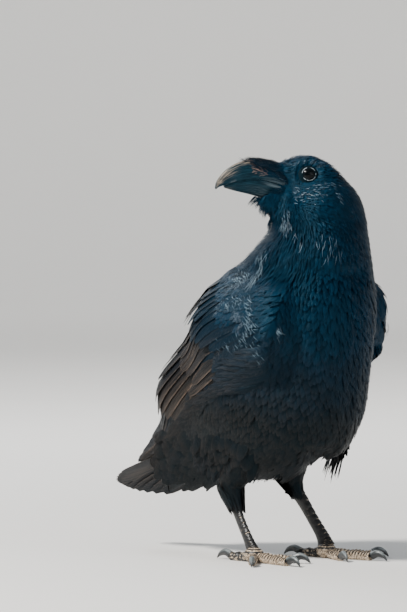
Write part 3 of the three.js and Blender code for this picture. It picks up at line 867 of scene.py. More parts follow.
# The same on the folded wings.
WING_HIGHLIT_SPOTS = [
    # place along and across the wing, how far it spreads each way, and strength
    (0.215, 0.17, 0.05, 0.09, 1.2), (0.235, 0.35, 0.05, 0.06, 0.9), (0.19, 0.42, 0.02, 0.16, 1.2),
    (0.19, 0.56, 0.03, 0.10, 0.9), (0.21, 0.66, 0.035, 0.09, 0.6), (0.25, 0.73, 0.06, 0.06, 0.9),
    (0.19, 0.83, 0.03, 0.06, 0.9), (0.05, 0.74, 0.04, 0.08, 0.4),
]


def highlight_near_spots(points):
    """How strongly painted highlights fall on the feathers, from the spots on the head and neck."""
    shares = np.zeros(points.shape[:-1])
    forward, left, up = head_place(points)
    for ahead, above, aside, reach, strength in HIGHLIT_SPOTS:
        away = np.sqrt((forward - ahead) ** 2 + (np.abs(left) - aside) ** 2 + (up - above) ** 2)
        shares = np.maximum(shares, strength * ease(reach, reach * 0.3, away))
    return shares


def highlight_by_wings(points, on_wings):
    """How strongly painted highlights fall on the feathers, from the spots on both wings and each point's
    place on them.
    """
    wing_highlight = np.zeros(len(points))
    for along, across, away in on_wings:
        for spot_along, spot_across, wide, tall, strength in WING_HIGHLIT_SPOTS:
            off = np.hypot((along - spot_along) / wide, (across - spot_across) / tall)
            wing_highlight = np.maximum(wing_highlight, strength * ease(1.0, 0.35, off) * (away < 14))
    return wing_highlight


# ---- wings --------------------------------------------------------------------------------------
# The folded wing is a sheet between an upper edge over the back and a lower edge along the flank,
# bulging out through a middle line. Each list runs from the shoulder to the wing's tip, and gives
# the distance from the mid-plane, how far ahead, and the height.
WING_UPPER = [
    (54, 49, 291), (43, -4, 306), (41, -54, 283), (35, -95, 237), (26, -135, 192), (15, -161, 146),
    (11, -209, 99),
]
WING_MIDDLE = [
    (74, 67, 255), (85, 40, 246), (80, -40, 238), (65, -79, 209), (60, -125, 173), (35, -153, 137),
    (16, -215, 90),
]
WING_LOWER = [
    (72, 61, 217), (81, 46, 194), (77, -10, 178), (69, -60, 160), (55, -103, 137), (37, -149, 107),
    (19, -211, 81),
]
SHEET_REACH = 90.0  # one unit across beyond either edge
ROOF_BEND = 55.0  # how tightly the sheet turns down over the back
NEARBY = 0.012  # step along or across for finding the way out of the sheet


def wing_sheet(sign):
    """The place on a folded wing and the way out there, as functions of (along, across)."""
    flip = np.array([sign, -1, 1])
    lines = (WING_UPPER, WING_MIDDLE, WING_LOWER)
    upper, middle, lower = (smooth_path(np.array(line) * flip) for line in lines)
    inward = np.array([-sign, 0.0, 0.0])
    tucked = unit(np.array([-0.5 * sign, 0.0, -1.0]))

    def point(along, across):
        on = np.clip(across, 0, 1)
        middling = (4 * on * (1 - on))[..., None]
        upward = (1 - on)[..., None] - middling / 2
        place = upper(along) * upward + middle(along) * middling + lower(along) * (1 - middling - upward)
        over = np.maximum(-across, 0)[..., None] * SHEET_REACH
        beyond = np.maximum(across - 1, 0)[..., None] * SHEET_REACH
        roof = inward * over + DOWN * over * over / (2 * ROOF_BEND)
        return place + roof + tucked * beyond

    def outward(along, across):
        lengthwise = point(along + NEARBY, across) - point(along - NEARBY, across)
        crosswise = point(along, across + NEARBY) - point(along, across - NEARBY)
        return unit(np.cross(lengthwise, crosswise)) * -sign

    return point, outward


def between(starts, ends, share):
    """Points at the shares of the way from each start to its end."""
    return starts[:, None] * (1 - share)[:, None] + ends[:, None] * share[:, None]


def lengths_of(shafts):
    return np.linalg.norm(np.diff(shafts, axis=1), axis=-1).sum(1)


# Each row of wing feathers, from the innermost layer out: how many, the line of their roots and the
# line of their tips on the sheet (along, across), half-width, height over the sheet at the roots and
# then at the tips from the uppermost to the lowest, the wear of the first and the last, and how far
# the tip is drawn out.
WING_ROWS = {
    "primaries": dict(
        count=9, roots=[(0.44, 0.25), (0.55, 0.95)],
        tips=[(0.80, 0.25), (0.84, 0.45), (0.88, 0.62), (0.92, 0.78), (0.955, 0.90), (0.93, 1.02)],
        half=6.2, height=(-7.0, -6.0, -6.0, -5.0, -3.0), worn=(0.3, 0.6), tipward=0.42,
    ),
    "secondaries": dict(
        count=10, roots=[(0.30, 0.0), (0.33, 0.30), (0.36, 0.6), (0.40, 0.94)],
        tips=[(0.62, 0.02), (0.625, 0.25), (0.655, 0.46), (0.75, 0.64), (0.73, 0.80), (0.685, 0.93),
              (0.65, 1.03)],
        half=7.6, height=(-6.0, -3.5, -1.0, -0.5, -2.0, -2.0, -1.0), worn=(0.5, 1.0), tipward=0.30,
    ),
    "greater": dict(
        count=12,
        roots=[(0.30, -0.06), (0.29, 0.12), (0.31, 0.36), (0.30, 0.47), (0.26, 0.60), (0.20, 0.76),
               (0.21, 0.86), (0.25, 0.95)],
        tips=[(0.47, 0.04), (0.50, 0.30), (0.53, 0.52), (0.54, 0.62), (0.515, 0.70), (0.48, 0.86),
              (0.53, 0.95), (0.485, 1.03)],
        half=7.0, height=(-5.5, -2.0, -0.5, 0.0, 0.8, -0.6), worn=(0.62, 1.0), tipward=0.30,
    ),
    "median": dict(
        count=11, roots=[(0.24, 0.03), (0.22, 0.14), (0.23, 0.27), (0.19, 0.41), (0.13, 0.55)],
        tips=[(0.345, 0.14), (0.385, 0.34), (0.415, 0.52), (0.365, 0.66), (0.285, 0.79)],
        half=7.8, height=(-4.5, 1.6, 2.2, 2.4, 2.0), worn=(0.0, 0.22), tipward=0.34,
    ),
    "scapulars": dict(
        count=8, roots=[(0.29, -0.16), (0.30, -0.02), (0.30, 0.12), (0.27, 0.24)],
        tips=[(0.44, -0.20), (0.49, 0.02), (0.475, 0.18), (0.43, 0.38), (0.35, 0.46)],
        half=7.4, height=(-7.0, 2.0, 6.5, 8.0, 5.6, 3.6), worn=(0.0, 0.08), tipward=0.30,
    ),
    "roof": dict(
        count=5, roots=[(0.32, -0.30), (0.34, 0.02)],
        tips=[(0.60, -0.24), (0.64, -0.10), (0.63, 0.10)],
        half=9.0, height=(-9.0, -6.5, -6.5, -6.0), worn=(0.4, 0.6), tipward=0.36,
    ),
    "late_scapulars": dict(
        count=5, roots=[(0.32, -0.32), (0.33, -0.12)],
        tips=[(0.48, -0.32), (0.51, -0.14)],
        half=8.6, height=(-8.0, -2.0, -1.5), worn=(0.0, 0.1), tipward=0.38,
    ),
}
WING_ROWS_LONG = 11
IMBRICATION = 0.15  # how steeply each feather leans over the one above it


def wing_row(sign, number, count, roots, tips, half, height, worn, tipward):
    """One row of feathers lying on the folded wing, each leaning over its neighbour."""
    point, outward = wing_sheet(sign)
    k = np.linspace(0, 1, count)
    start, end = smooth_path(roots)(k), smooth_path(tips)(k) + rng.normal(scale=0.005, size=(count, 2))
    end[:, 0] = np.minimum(end[:, 0], 1.0)
    t = np.linspace(0, 1, WING_ROWS_LONG) ** 0.85
    line = between(start, end, t)
    along, across = line[..., 0], line[..., 1]
    tip_height = smooth_path(height[1:])(k) if len(height) > 2 else np.full(count, height[1])
    level = height[0] + (tip_height[:, None] - height[0]) * t**0.9 + 0.2 * rng.normal(size=(count, 1))
    level = level - 6.0 * ease(0.10, -0.04, across) * ease(0.42, 0.28, along)  # tucked under the mantle
    outs = outward(along, across)
    shafts = point(along, across) + outs * level[..., None]
    crosswise = point(along, across + 0.01) - point(along, across)
    side = np.cross(unit(np.gradient(shafts, axis=1)), outs)
    lean = IMBRICATION * np.sign(np.sum(side * crosswise, -1))[:, WING_ROWS_LONG // 2]
    halves = half * outline(WING_ROWS_LONG, 0.28, tipward) * (1 + 0.06 * rng.normal(size=(count, 1)))
    tags = {
        "seed": rng.random(count),
        "worn": np.clip(worn[0] + (worn[1] - worn[0]) * k + 0.10 * rng.normal(size=count), 0, 1),
        "barbs": lengths_of(shafts) / FLIGHT_BARB_SPACING,
    }
    spots = np.stack([0.04 + 0.92 * k, np.full(count, 0.08 + 0.12 * number)], -1)
    return shafts, outs, halves, lean, tags, spots


def joined(rows):
    """Rows of vanes put together as one."""
    return [
        {key: np.concatenate([row[i][key] for row in rows]) for key in part}
        if isinstance(part, dict)
        else np.concatenate([row[i] for row in rows])
        for i, part in enumerate(rows[0])
    ]


def wing(side, sign, material):
    rows = [wing_row(sign, i, **row) for i, row in enumerate(WING_ROWS.values())]
    shafts, outs, halves, lean, tags, spots = joined(rows)
    piece = vanes(
        f"wing_{side}_feathers", shafts, outs, halves, material, tags, (spots, np.array([0.05, 0.1])),
        columns=STIFF, camber=0.08, thick=0.5, ragged=0.02, rachis=0.4, lopsided=0.15 * sign, lean=lean,
    )
    nodes = [f"wing_{side}_{part}" for part in ("coverts", "secondaries", "primaries")]
    return belongs(piece, "flight_feathers", *nodes)


def on_wing(points, sign):
    """The nearest place on a folded wing's sheet (along, across), and how far it is, for each point."""
    along, across = np.meshgrid(np.linspace(0, 1, 61), np.linspace(-0.2, 1.1, 40), indexing="ij")
    along, across = along.ravel(), across.ravel()
    tree = point_tree(wing_sheet(sign)[0](along, across))
    _, index, away = zip(*(tree.find(p) for p in points))
    index = np.array(index)
    return along[index], across[index], np.array(away)


# Lines of soft feathers over the wing's edges: the roots from and to, the tips from and to, and how many.
EDGE_LINES = [
    ((0.10, 0.86), (0.24, 1.12), (0.24, 0.81), (0.39, 1.02), 56),
    ((0.05, 0.92), (0.20, 1.18), (0.19, 0.86), (0.35, 1.08), 56),
    ((0.20, 1.08), (0.60, 1.22), (0.36, 1.02), (0.74, 1.09), 60),
    ((0.17, 1.02), (0.58, 1.15), (0.33, 0.98), (0.74, 1.04), 60),
]


def edge_cover(side, sign, material):
    """Soft breast and flank feathers that lie over the front and the lower edge of the folded wing."""
    point, outward = wing_sheet(sign)
    rows = []
    for root_a, root_b, tip_a, tip_b, count in EDGE_LINES:
        k = np.linspace(0, 1, count)[:, None]
        start = np.array(root_a) * (1 - k) + np.array(root_b) * k + rng.normal(scale=0.008, size=(count, 2))
        end = np.array(tip_a) * (1 - k) + np.array(tip_b) * k + rng.normal(scale=0.014, size=(count, 2))
        t = np.linspace(0, 1, COAT_ROWS)
        line = between(start, end, t)
        outs = outward(line[..., 0], line[..., 1])
        rise = (-4.5 + 7.6 * t**0.7) + 0.4 * rng.normal(size=(count, 1))
        shafts = point(line[..., 0], line[..., 1]) + outs * rise[..., None]
        flat = shafts.reshape(-1, 3)
        on_skin, facing, _ = nearest(skin_tree, flat)
        off = np.sum((flat - on_skin) * facing, -1) - coat_room(on_skin)
        proud = np.maximum(off.reshape(count, -1) - (-2.0 + 7.0 * t**0.8), 0)
        shafts = shafts - facing.reshape(shafts.shape) * proud[..., None]
        halves = 4.2 * outline(COAT_ROWS, 0.45, 0.7) * rng.uniform(0.85, 1.15, (count, 1))
        tags = feather_tags(lengths_of(shafts), wear_and_sky_tint(shafts[:, 0]), 0.06, power=1)
        spots = unwrapped(shafts[:, 0], np.zeros(3), UP, BACKWARD)
        rows.append((shafts, outs, halves, tags, spots))
    shafts, outs, halves, tags, spots = joined(rows)
    name = f"coat_over_wing_{side}"
    return belongs(vanes(name, shafts, outs, halves, material, tags, (spots, PATCH), ragged=0.08), "plumage")


# ---- tail ---------------------------------------------------------------------------------------
TAIL_ROOT = np.array([0, 108, 113])
TAIL_TIP = np.array([0, 236, 66])
TAIL_FEATHERS = 12
TAIL_ROOT_HALF, TAIL_TIP_HALF = 17.0, 27.0
TAIL_WEDGE, TAIL_ARCH, TAIL_STEP = 36.0, 4.0, 0.7
TAIL_ROLL = 0.50  # how far the fan is turned, right side up


def tail(material):
    """Twelve feathers in a wedge, arched across and rolled over to the bird's right."""
    axis = TAIL_TIP - TAIL_ROOT
    length = np.linalg.norm(axis)
    right = np.array([1.0, 0, 0])
    above = np.cross(right, axis / length)
    above = above * np.sign(above[2])
    k = np.arange(TAIL_FEATHERS)
    from_middle = np.floor(np.abs(k - (TAIL_FEATHERS - 1) / 2))[:, None]
    across = (2 * (k + 0.5) / TAIL_FEATHERS - 1)[:, None]
    t = np.linspace(0, 1, WING_ROWS_LONG)[None] ** 0.85
    span = across * (TAIL_ROOT_HALF + (TAIL_TIP_HALF - TAIL_ROOT_HALF) * t)
    reach = t * (1 - TAIL_WEDGE / length * across**2)
    level = -0.8 - TAIL_ARCH * across**2 - TAIL_ROLL * span - TAIL_STEP * from_middle - 2.0 * t * t
    shafts = TAIL_ROOT + axis * reach[..., None] + right * span[..., None] + above * level[..., None]
    tilt = np.arctan(2 * TAIL_ARCH * across / TAIL_TIP_HALF + TAIL_ROLL)[..., None]
    outs = np.broadcast_to(above * np.cos(tilt) + right * np.sin(tilt), shafts.shape)
    halves = 9.0 * outline(WING_ROWS_LONG, 0.22, 0.26) * np.ones((TAIL_FEATHERS, 1))
    tags = {
        "seed": rng.random(TAIL_FEATHERS),
        "worn": rng.uniform(0.50, 0.78, TAIL_FEATHERS),
        "barbs": np.full(TAIL_FEATHERS, length / FLIGHT_BARB_SPACING),
    }
    spots = np.stack([0.06 + 0.08 * k, np.full(TAIL_FEATHERS, 0.5)], -1)
    piece = vanes(
        "tail_feathers", shafts, outs, halves, material, tags, (spots, np.array([0.07, 0.8])),
        columns=STIFF, camber=0.10, thick=0.6, ragged=0.02, rachis=0.5,
    )
    return belongs(piece, "flight_feathers", "tail")


# ---- bill ---------------------------------------------------------------------------------------
# Both halves share the line where they meet, which rises from the gape and falls to the hooked tip.
# Each place is how far ahead of the eyes it is, and how far above them; the last number of a row is
# the half-width.
UPPER_BILL = [
    ((14, 4), (16, -12), 12.5), ((24, 9), (24, -10), 12.2), ((36, 12.5), (36, -6.5), 11.2),
    ((48, 14.5), (48, -4), 9.6), ((59, 14.5), (58, -4), 8.2), ((69, 12), (67, -5), 6.8),
    ((78.5, 6.5), (75.5, -7.5), 5.2), ((86, -1), (82.5, -10), 3.6), ((90, -7.5), (87.5, -12), 2),
    ((91.2, -13), (90, -14), 0.7),
]
LOWER_BILL = [
    ((16, -26), (16, -12.6), 11.6), ((24, -25.5), (24, -10.6), 11.4), ((36, -23.5), (36, -7.1), 10.2),
    ((48, -21), (48, -4.6), 8.6), ((58, -18.5), (58, -4.6), 7.2), ((67, -16.5), (67, -5.6), 5.8),
    ((75, -14.5), (75.5, -8.1), 4.2), ((81.4, -12.6), (82, -10.4), 2),
]
BILL_RINGS, BILL_AROUND = 72, 30


def bill_lines(stations):
    """The ridge and the mouth of half of the bill, as places in the head, and its half-width."""
    return (smooth_path([station[i] for station in stations]) for i in range(3))


def bill_section(angle):
    """How high and how far aside the surface of the bill is, at angles from its left side to its right."""
    return np.sin(angle) ** 0.95, np.sign(np.cos(angle)) * np.abs(np.cos(angle)) ** 0.8


def bill_half(name, stations, material, upper):
    """Half of the bill: a round ridge, sides that tuck in to a cutting edge, and a flat mouth."""
    ridge, mouth, half = bill_lines(stations)
    t = np.linspace(0, 1, BILL_RINGS)
    rise, wide = bill_section(np.linspace(0, math.pi, BILL_AROUND))
    tuck = 1 - 0.10 * ease(0.35, 0.0, rise)  # the cutting edges
    keel = 1 - 0.06 * np.exp(-(((rise - 0.55) / 0.16) ** 2)) * (0.4 if upper else 1.0)
    snug, shut = (1.0, 0.0) if upper else (0.96, -0.07)
    low, high = in_head(*mouth(t).T), in_head(*ridge(t).T)
    rings = (
        low[:, None]
        + (high - low)[:, None] * (shut + (1 - shut) * rise)[:, None]
        + HEAD_LEFT * (snug * half(t)[:, None] * wide * tuck * keel)[..., None]
    )
    ahead = head_place(rings)[0]
    if upper:
        worn = ease(64, 88, ahead) * ease(0.25, 0.7, rise + 0.2 * ease(80, 90, ahead))  # the tip
        worn = np.maximum(worn, 0.8 * ease(46, 64, ahead) * ease(0.72, 0.95, rise))  # and the culmen
        worn = worn * ease(91.5, 87, ahead)
        # Painted highlights: a bright line at the cutting edge near the tip, and reflections along the mouth
        # near the gape.
        pale = 0.5 * ease(0.16, 0.02, rise) * ease(70, 72, ahead) * ease(77, 75, ahead)
        pale = pale + 0.25 * ease(0.30, 0.08, rise) * ease(16, 22, ahead) * ease(48, 34, ahead)
    else:
        worn = 0.25 * ease(68, 80, ahead) * ease(0.4, 0.9, rise)
        worn = worn + 0.05 * ease(30, 44, ahead) * ease(66, 50, ahead) * ease(0.3, 0.6, rise)
        # Painted reflections along the lower mouth's edge near the gape.
        pale = 0.4 * ease(0.36, 0.24, rise) * ease(0.08, 0.18, rise)
        pale = pale * ease(14, 20, ahead) * ease(48, 36, ahead)
    pale = np.clip(pale, 0, 1)
    piece = ring_piece(name, rings, material, 42, unrolled=True, worn=worn, pale=pale)
    return belongs(piece, "bill", name.removesuffix("_horn"))


# ---- eyes ---------------------------------------------------------------------------------------
# The lids' section: how far from the axis, and how far in front of the eye's centre.
LID = [(5.6, 6.6), (5.9, 6.95), (6.3, 7.15), (6.6, 7.25), (6.85, 7.2), (7.1, 7.0), (7.5, 6.7)]
LID_SKIRT = [8.0, 8.9, 10.0, 11.4]  # rings that go over to the skin
LID_BASE = 6.2  # how far in front of the eye's centre the skirt starts
CORNEA_BULGE, CORNEA_HALF = 0.035, 0.5  # a share of the eyeball's radius, and radians off its axis
GAZE_AHEAD, GAZE_UP = 0.16, 0.16  # how far the eyes' axes turn ahead and up from the head's sides


def eye(side, sign, eyeball_finish, lid_finish):
    """The eyeball, a turned shape with a bulging cornea, and the ring of lids that goes over to the skin."""
    low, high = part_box(f"eye_{side}")
    radius = (high - low)[2] / MM / 2
    centre = drawn(eye_centres[side] * MM)
    axis = unit(sign * HEAD_LEFT + GAZE_AHEAD * BILLWARD + GAZE_UP * UP)
    right = unit(np.cross(UP, axis))
    up = np.cross(axis, right)
    spin = np.linspace(0, math.tau, 40, endpoint=False)
    ring = np.cos(spin)[:, None] * right + np.sin(spin)[:, None] * up
    lean = np.linspace(0.03, math.pi - 0.03, 34)
    reach = radius * (1 + CORNEA_BULGE * np.exp(-((lean / CORNEA_HALF) ** 2)))
    aside, ahead = (reach[:, None, None] * bend(lean)[:, None, None] for bend in (np.sin, np.cos))
    rings = centre + ring * aside + axis * ahead
    off = np.where(lean < math.pi / 2, np.sin(lean), 1.0)[:, None]
    belongs(ring_piece(f"eyeball_{side}", rings, eyeball_finish, off=off), "eye", f"eye_{side}")

    wave = 1 + 0.03 * np.cos(2 * spin)
    rings = [centre + ring * (r * wave)[:, None] + axis * h for r, h in LID]
    for i, r in enumerate(LID_SKIRT):
        level = centre + ring * r + axis * LID_BASE
        on_skin, out, _ = nearest(skin_tree, level)
        share = (i + 1) / len(LID_SKIRT)
        crease = 0.25 * np.sin(3 * math.pi * share)
        rings.append(level * (1 - share**0.6) + (on_skin + out * (crease - 0.5 * share)) * share**0.6)
    rings = np.array(rings)
    rings = np.concatenate([rings, rings[-1:] - axis * 3, rings[:1] - axis * 2.5])
    # A painted highlight along the lids' edge, brightest towards one side.
    pale = np.zeros(rings.shape[:2])
    pale[3] = 0.55 + 0.45 * ease(-0.6, 0.2, np.cos(spin - 3.6))
    pale[4] = 0.25 * pale[3]
    return belongs(ring_piece(f"eyelids_{side}", rings, lid_finish, capped=False, pale=pale), "plumage")


# ---- legs ---------------------------------------------------------------------------------------
STANCE, STRIDE, FEET_AHEAD = 44.0, 8.0, 6.5
HEEL_HEIGHT, BALL_HEIGHT, PAD_FLAT = 66.0, 11.0, 0.5
HEEL_BACK, HEEL_IN, FOOT_SPLAY = 38.0, 8.0, 12.0
TARSUS_DEPTH, TARSUS_WIDTH = 5.6, 0.66
TOES = {
    # degrees out from the way the foot points, length beyond the ball, radius at the root, claw length,
    # and how dusty its sides are
    "middle": (-4, 54, 4.8, 18, 1.0),
    "inner": (-38, 40, 4.4, 17, 0.9),
    "outer": (36, 45, 4.3, 16, 0.8),
    "hind": (172, 33, 4.8, 21, 0.35),
}
CLAW_ROOT = 1.7  # how far beyond the end of its toe a claw starts
CLAW_RADII, CLAW_WIDE, CLAW_DEEP = [3.7, 3.2, 2.1, 0.5], 0.86, 1.12
TARSUS_SCUTES, TOE_SCUTE_LONG, LEAST_TOE_SCUTES = 17, 3.6, 7
RINGS_PER_SCUTE, LIMB_AROUND = 8, 26
BALL_HALVES, BALL_MIDDLE = (9.6, 10.6, 8.0), 7.4  # the ball's half-width, half-length and half-height
GROUND = 0.0


def heading(degrees):
    """The level way so many degrees to the left of straight ahead."""
    angle = math.radians(degrees)
    return np.array([math.sin(angle), -math.cos(angle), 0.0])


def limb(path, radii, count, around, side, wide=1.0, deep=1.0):
    """The share of the way along at each ring of a limb, the radius there, the angles round it from its
    back, and a function that makes the rings from the distance of each point from the middle.
    """
    line, radius = smooth_path(path), smooth_path(radii)
    t = np.linspace(0, 1, count)
    centre = line(t)
    ahead = unit(np.gradient(centre, axis=0))
    right = unit(side - ahead * (ahead @ side)[:, None])
    up = np.cross(right, ahead)
    angle = np.linspace(0, math.tau, around, endpoint=False)

    def rings_of(away):
        high, aside = (away * deep * np.cos(angle))[..., None], (away * wide * np.sin(angle))[..., None]
        return centre[:, None] + up[:, None] * high + right[:, None] * aside

    return t, radius(t), angle, rings_of


def scaled(name, path, radii, side, wide, scutes, ridge, material, dusty, seams, node, facing=1.0, joints=0):
    """A scaled limb: overlapping scutes along its back, pads below, cut level where it stands."""
    t, radius, angle, rings_of = limb(path, radii, scutes * RINGS_PER_SCUTE + 1, LIMB_AROUND, side, wide)
    phase = (t * scutes) % 1.0
    plate = 1 - np.abs(2 * phase - 1) ** 6
    back = np.cos(angle) * facing  # 1 along the back, -1 underneath
    step = ridge * (phase - 0.5)[:, None] * ease(-0.1, 0.5, back)
    groove = -ridge * (1 - plate)[:, None] * ease(-0.1, 0.4, back)
    pads = 0.10 * radius[:, None] * np.sin(math.pi * t * 3)[:, None] ** 2 * ease(0.1, -0.7, back)
    knuckles = 0.09 * radius * np.cos(math.tau * joints * t) * (joints > 0)
    rings = rings_of(radius[:, None] + knuckles[:, None] + step + groove + pads)
    rings[..., 2] = np.maximum(rings[..., 2], GROUND)
    bare = name.startswith("toe")
    seam = seams * (1.0 if bare else 0.35 + 0.65 * ease(0.1, 0.8, t)[:, None])
    on_top = ease(-0.2, 0.3, back)
    tags = {
        "plate": plate[:, None],
        "seams": seam * on_top * (not bare),
        "bars": ease(0.98, 0.60, plate)[:, None] * on_top * bare,
        "dusty": dusty * np.maximum(0.85 * on_top * bare, ease(0.42, -0.15, back)),
    }
    return belongs(ring_piece(name, rings, material, 60, **tags), "leg", node)


def claw(name, path, side, material):
    """A curved claw, deeper than it is wide."""
    _, radius, angle, rings_of = limb(path, CLAW_RADII, 22, 16, side, CLAW_WIDE, CLAW_DEEP)
    # The top of the claw, where its painted sheen falls.
    top = ease(0.1, 0.8, np.cos(angle))
    piece = ring_piece(f"{name}_horn", rings_of(radius[:, None]), material, unrolled=True, top=top)
    return belongs(piece, "claw", name)


def leg_line(sign):
    """The heel and the ball of the foot."""
    ahead = FEET_AHEAD + sign * STRIDE
    heel = np.array([sign * (STANCE - HEEL_IN), -(ahead - HEEL_BACK), HEEL_HEIGHT])
    return heel, np.array([sign * STANCE, -ahead, BALL_HEIGHT])


def leg(side, sign, scales, horn_finish):
    """The tarsus, the ball of the foot, and the toes with their claws."""
    heel, ball = leg_line(sign)
    sideways = heading(sign * FOOT_SPLAY + 90)
    # How stout the tarsus is, how far it lies to the front left of its line, and how stout its ankle is.
    stout, lie, ankle = (1.22, 2.2, (1.08, 1.4)) if sign > 0 else (1.14, -1.2, (1.0, 1.1))
    shares, shifts = (-0.12, 0.05, 0.5, 0.85, 1.0), (1, 1, 1, 0.7, 0)
    aside = np.array([lie, -lie, 0])
    path = [heel + (ball - heel) * share + aside * shift for share, shift in zip(shares, shifts)]
    depth = [TARSUS_DEPTH * share * stout for share in (0.95, 1.02, 0.86, *ankle)]
    scaled(f"tarsus_{side}_scutes", path, depth, sideways, TARSUS_WIDTH, TARSUS_SCUTES, 0.5, scales, 0.10,
           0.36, f"tarsus_{side}", facing=-1.0)
    lean = np.linspace(0.05, math.pi - 0.05, 24)[:, None]
    spin = np.linspace(0, math.tau, 32, endpoint=False)
    high = np.cos(lean)
    sphere = np.stack([np.sin(lean) * np.cos(spin), np.sin(lean) * np.sin(spin), high + 0 * spin], -1)
    pad = sphere * BALL_HALVES + np.array([*ball[:2], BALL_MIDDLE])
    pad[..., 2] = np.maximum(pad[..., 2], GROUND)
    tags = {
        "plate": 0.5 + 0.5 * np.cos(lean * 16),
        "seams": ease(0.0, 0.5, high),
        "dusty": 0.9 * ease(0.5, -0.1, high),
    }
    belongs(ring_piece(f"ball_{side}", pad, scales, **tags), "leg")
    for toe, (out, long, thick, claw_long, dusty) in TOES.items():
        way = heading(sign * (out + FOOT_SPLAY))
        across = np.cross(way, UP)

        def on(share, z):
            return np.array([*(ball + way * share * long)[:2], z - PAD_FLAT])

        path = [on(0.05, 7.6), on(0.35, 5.4), on(0.7, 4.6), on(1.0, 4.2)]
        radii = [thick * share for share in (1, 0.98, 0.95, 0.84)]
        scutes = max(LEAST_TOE_SCUTES, int(long / TOE_SCUTE_LONG))
        scaled(f"toe_{side}_{toe}_scutes", path, radii, across, 1.0, scutes, 0.9, scales, dusty, 1.0,
               f"toe_{side}_{toe}", joints=3)

        def beyond(share, z):
            return np.array([*(ball + way * (long + CLAW_ROOT + share * claw_long))[:2], z])

        path = [beyond(0, 5), beyond(0.38, 7.4), beyond(0.75, 5.4), beyond(1, 1)]
        claw(f"claw_{side}_{toe}", path, across, horn_finish)


# ---- bristles and tufts -------------------------------------------------------------------------
def wisps(name, roots, ways, outs, lengths, half, bend, material, worn, frost, tipward=0.9):
    """Thin free feathers or bristles, each bending towards `bend` along its length."""
    count = len(roots)
    t = np.linspace(0, 1, COAT_ROWS)[None, :, None]
    shafts = roots[:, None] + unit(ways)[:, None] * lengths[:, None, None] * t
    shafts = shafts + np.asarray(bend) * lengths[:, None, None] * t**2
    halves = half * outline(COAT_ROWS, 0.35, tipward) * rng.uniform(0.8, 1.2, (count, 1))
    faces_out = np.repeat(unit(outs)[:, None], COAT_ROWS, 1)
    tags = feather_tags(lengths, worn, frost)
    spots = unwrapped(roots, np.zeros(3), UP, BACKWARD)
    piece = vanes(name, shafts, faces_out, halves, material, tags, (spots, PATCH), columns=NARROW,
                  thick=min(0.3, half), ragged=0.05)
    return belongs(piece, "plumage")


def on_bill(stations, forward, angle, off):
    """Points off the surface of half of the bill, so far ahead of the eyes and so far round it."""
    ridge, mouth, half = bill_lines(stations)
    t = np.linspace(0, 1, 200)
    share = np.interp(forward, ridge(t)[:, 0], t)
    low, high = mouth(share)[..., 1], ridge(share)[..., 1]
    rise, wide = bill_section(angle)
    up = low + (high - low) * rise + off * np.sin(angle) * np.sign(high - low)
    return in_head(forward, up, half(share) * wide + off * np.cos(angle))


def strands(name, material, stations, count, reach, spread, length, half, rise, worn, frost, band=None):
    """Bristles that lie along the bill over its root, springing a little clear of it at their tips."""
    root = rng.uniform(*reach, count)
    spread = spread * (1 + 0.45 * ease(34, 16, root))
    angle = math.pi / 2 + rng.uniform(-1, 1, count) * np.minimum(spread, 1.5)
    if band:
        angle = rng.uniform(*band, count)
        angle = np.where(rng.random(count) < 0.5, angle, math.pi - angle)
    long = rng.uniform(*length, count) * (0.55 + 0.45 * np.sin(angle) ** 2)
    drift = rng.normal(scale=0.10, size=count)
    t = np.linspace(0, 1, COAT_ROWS)[None]
    bend = angle[:, None] + drift[:, None] * t
    off = 0.4 + rng.uniform(0.2, 1.0, (count, 1)) * rise * t**1.6
    shafts = on_bill(stations, root[:, None] + long[:, None] * t, bend, off)
    centre = on_bill(stations, root[:, None] + long[:, None] * t, bend, off - 2.0)
    tags = feather_tags(long, worn, frost)
    halves = half * outline(COAT_ROWS, 0.3, 0.8) * rng.uniform(0.8, 1.2, (count, 1))
    spots = unwrapped(shafts[:, 0], in_head(0, -30), BILLWARD, HEAD_LEFT)
    outs = unit(shafts - centre)
    piece = vanes(name, shafts, outs, halves, material, tags, (spots, PATCH), columns=NARROW, ragged=0.05)
    return belongs(piece, "plumage")


# Bristles that lie along the bill: which half, how many, where their roots are ahead of the eyes, how far
# down its sides they go, length, half-width, how far they spring clear, how worn they are, how strongly
# painted highlights show on them, and the band of angles that some keep to.
BRISTLES = {
    "nasal_bristles": (UPPER_BILL, 1300, (15, 48), 1.02, (9, 15), 0.38, 3.8, 0.12, 0.35),
    "loral_bristles": (UPPER_BILL, 460, (14, 38), 1.5, (10, 16), 0.40, 1.0, 0.05, 0.2, (0.25, 0.8)),
    "gape_bristles": (UPPER_BILL, 160, (14, 22), 1.4, (7, 12), 0.36, 1.2, 0.1, 0.4),
    "mental_bristles": (LOWER_BILL, 360, (14, 34), 1.2, (7, 12), 0.40, 0.8, 0.1, 0.15),
}
# Bristles over the culmen, drawn in painted tan highlights.
TAN_HIGHLIT_BRISTLES = (UPPER_BILL, 280, (38, 52), 1.3, (5, 10), 0.17, 2.2, 0.95, 0.9)
# Painted reflections along the gape: pale strokes in the highlight finish.
GAPE_GLINTS = (UPPER_BILL, 26, (14, 28), 1.5, (12, 18), 0.15, 1.0, 0.1, 0.9, (0.02, 0.30))


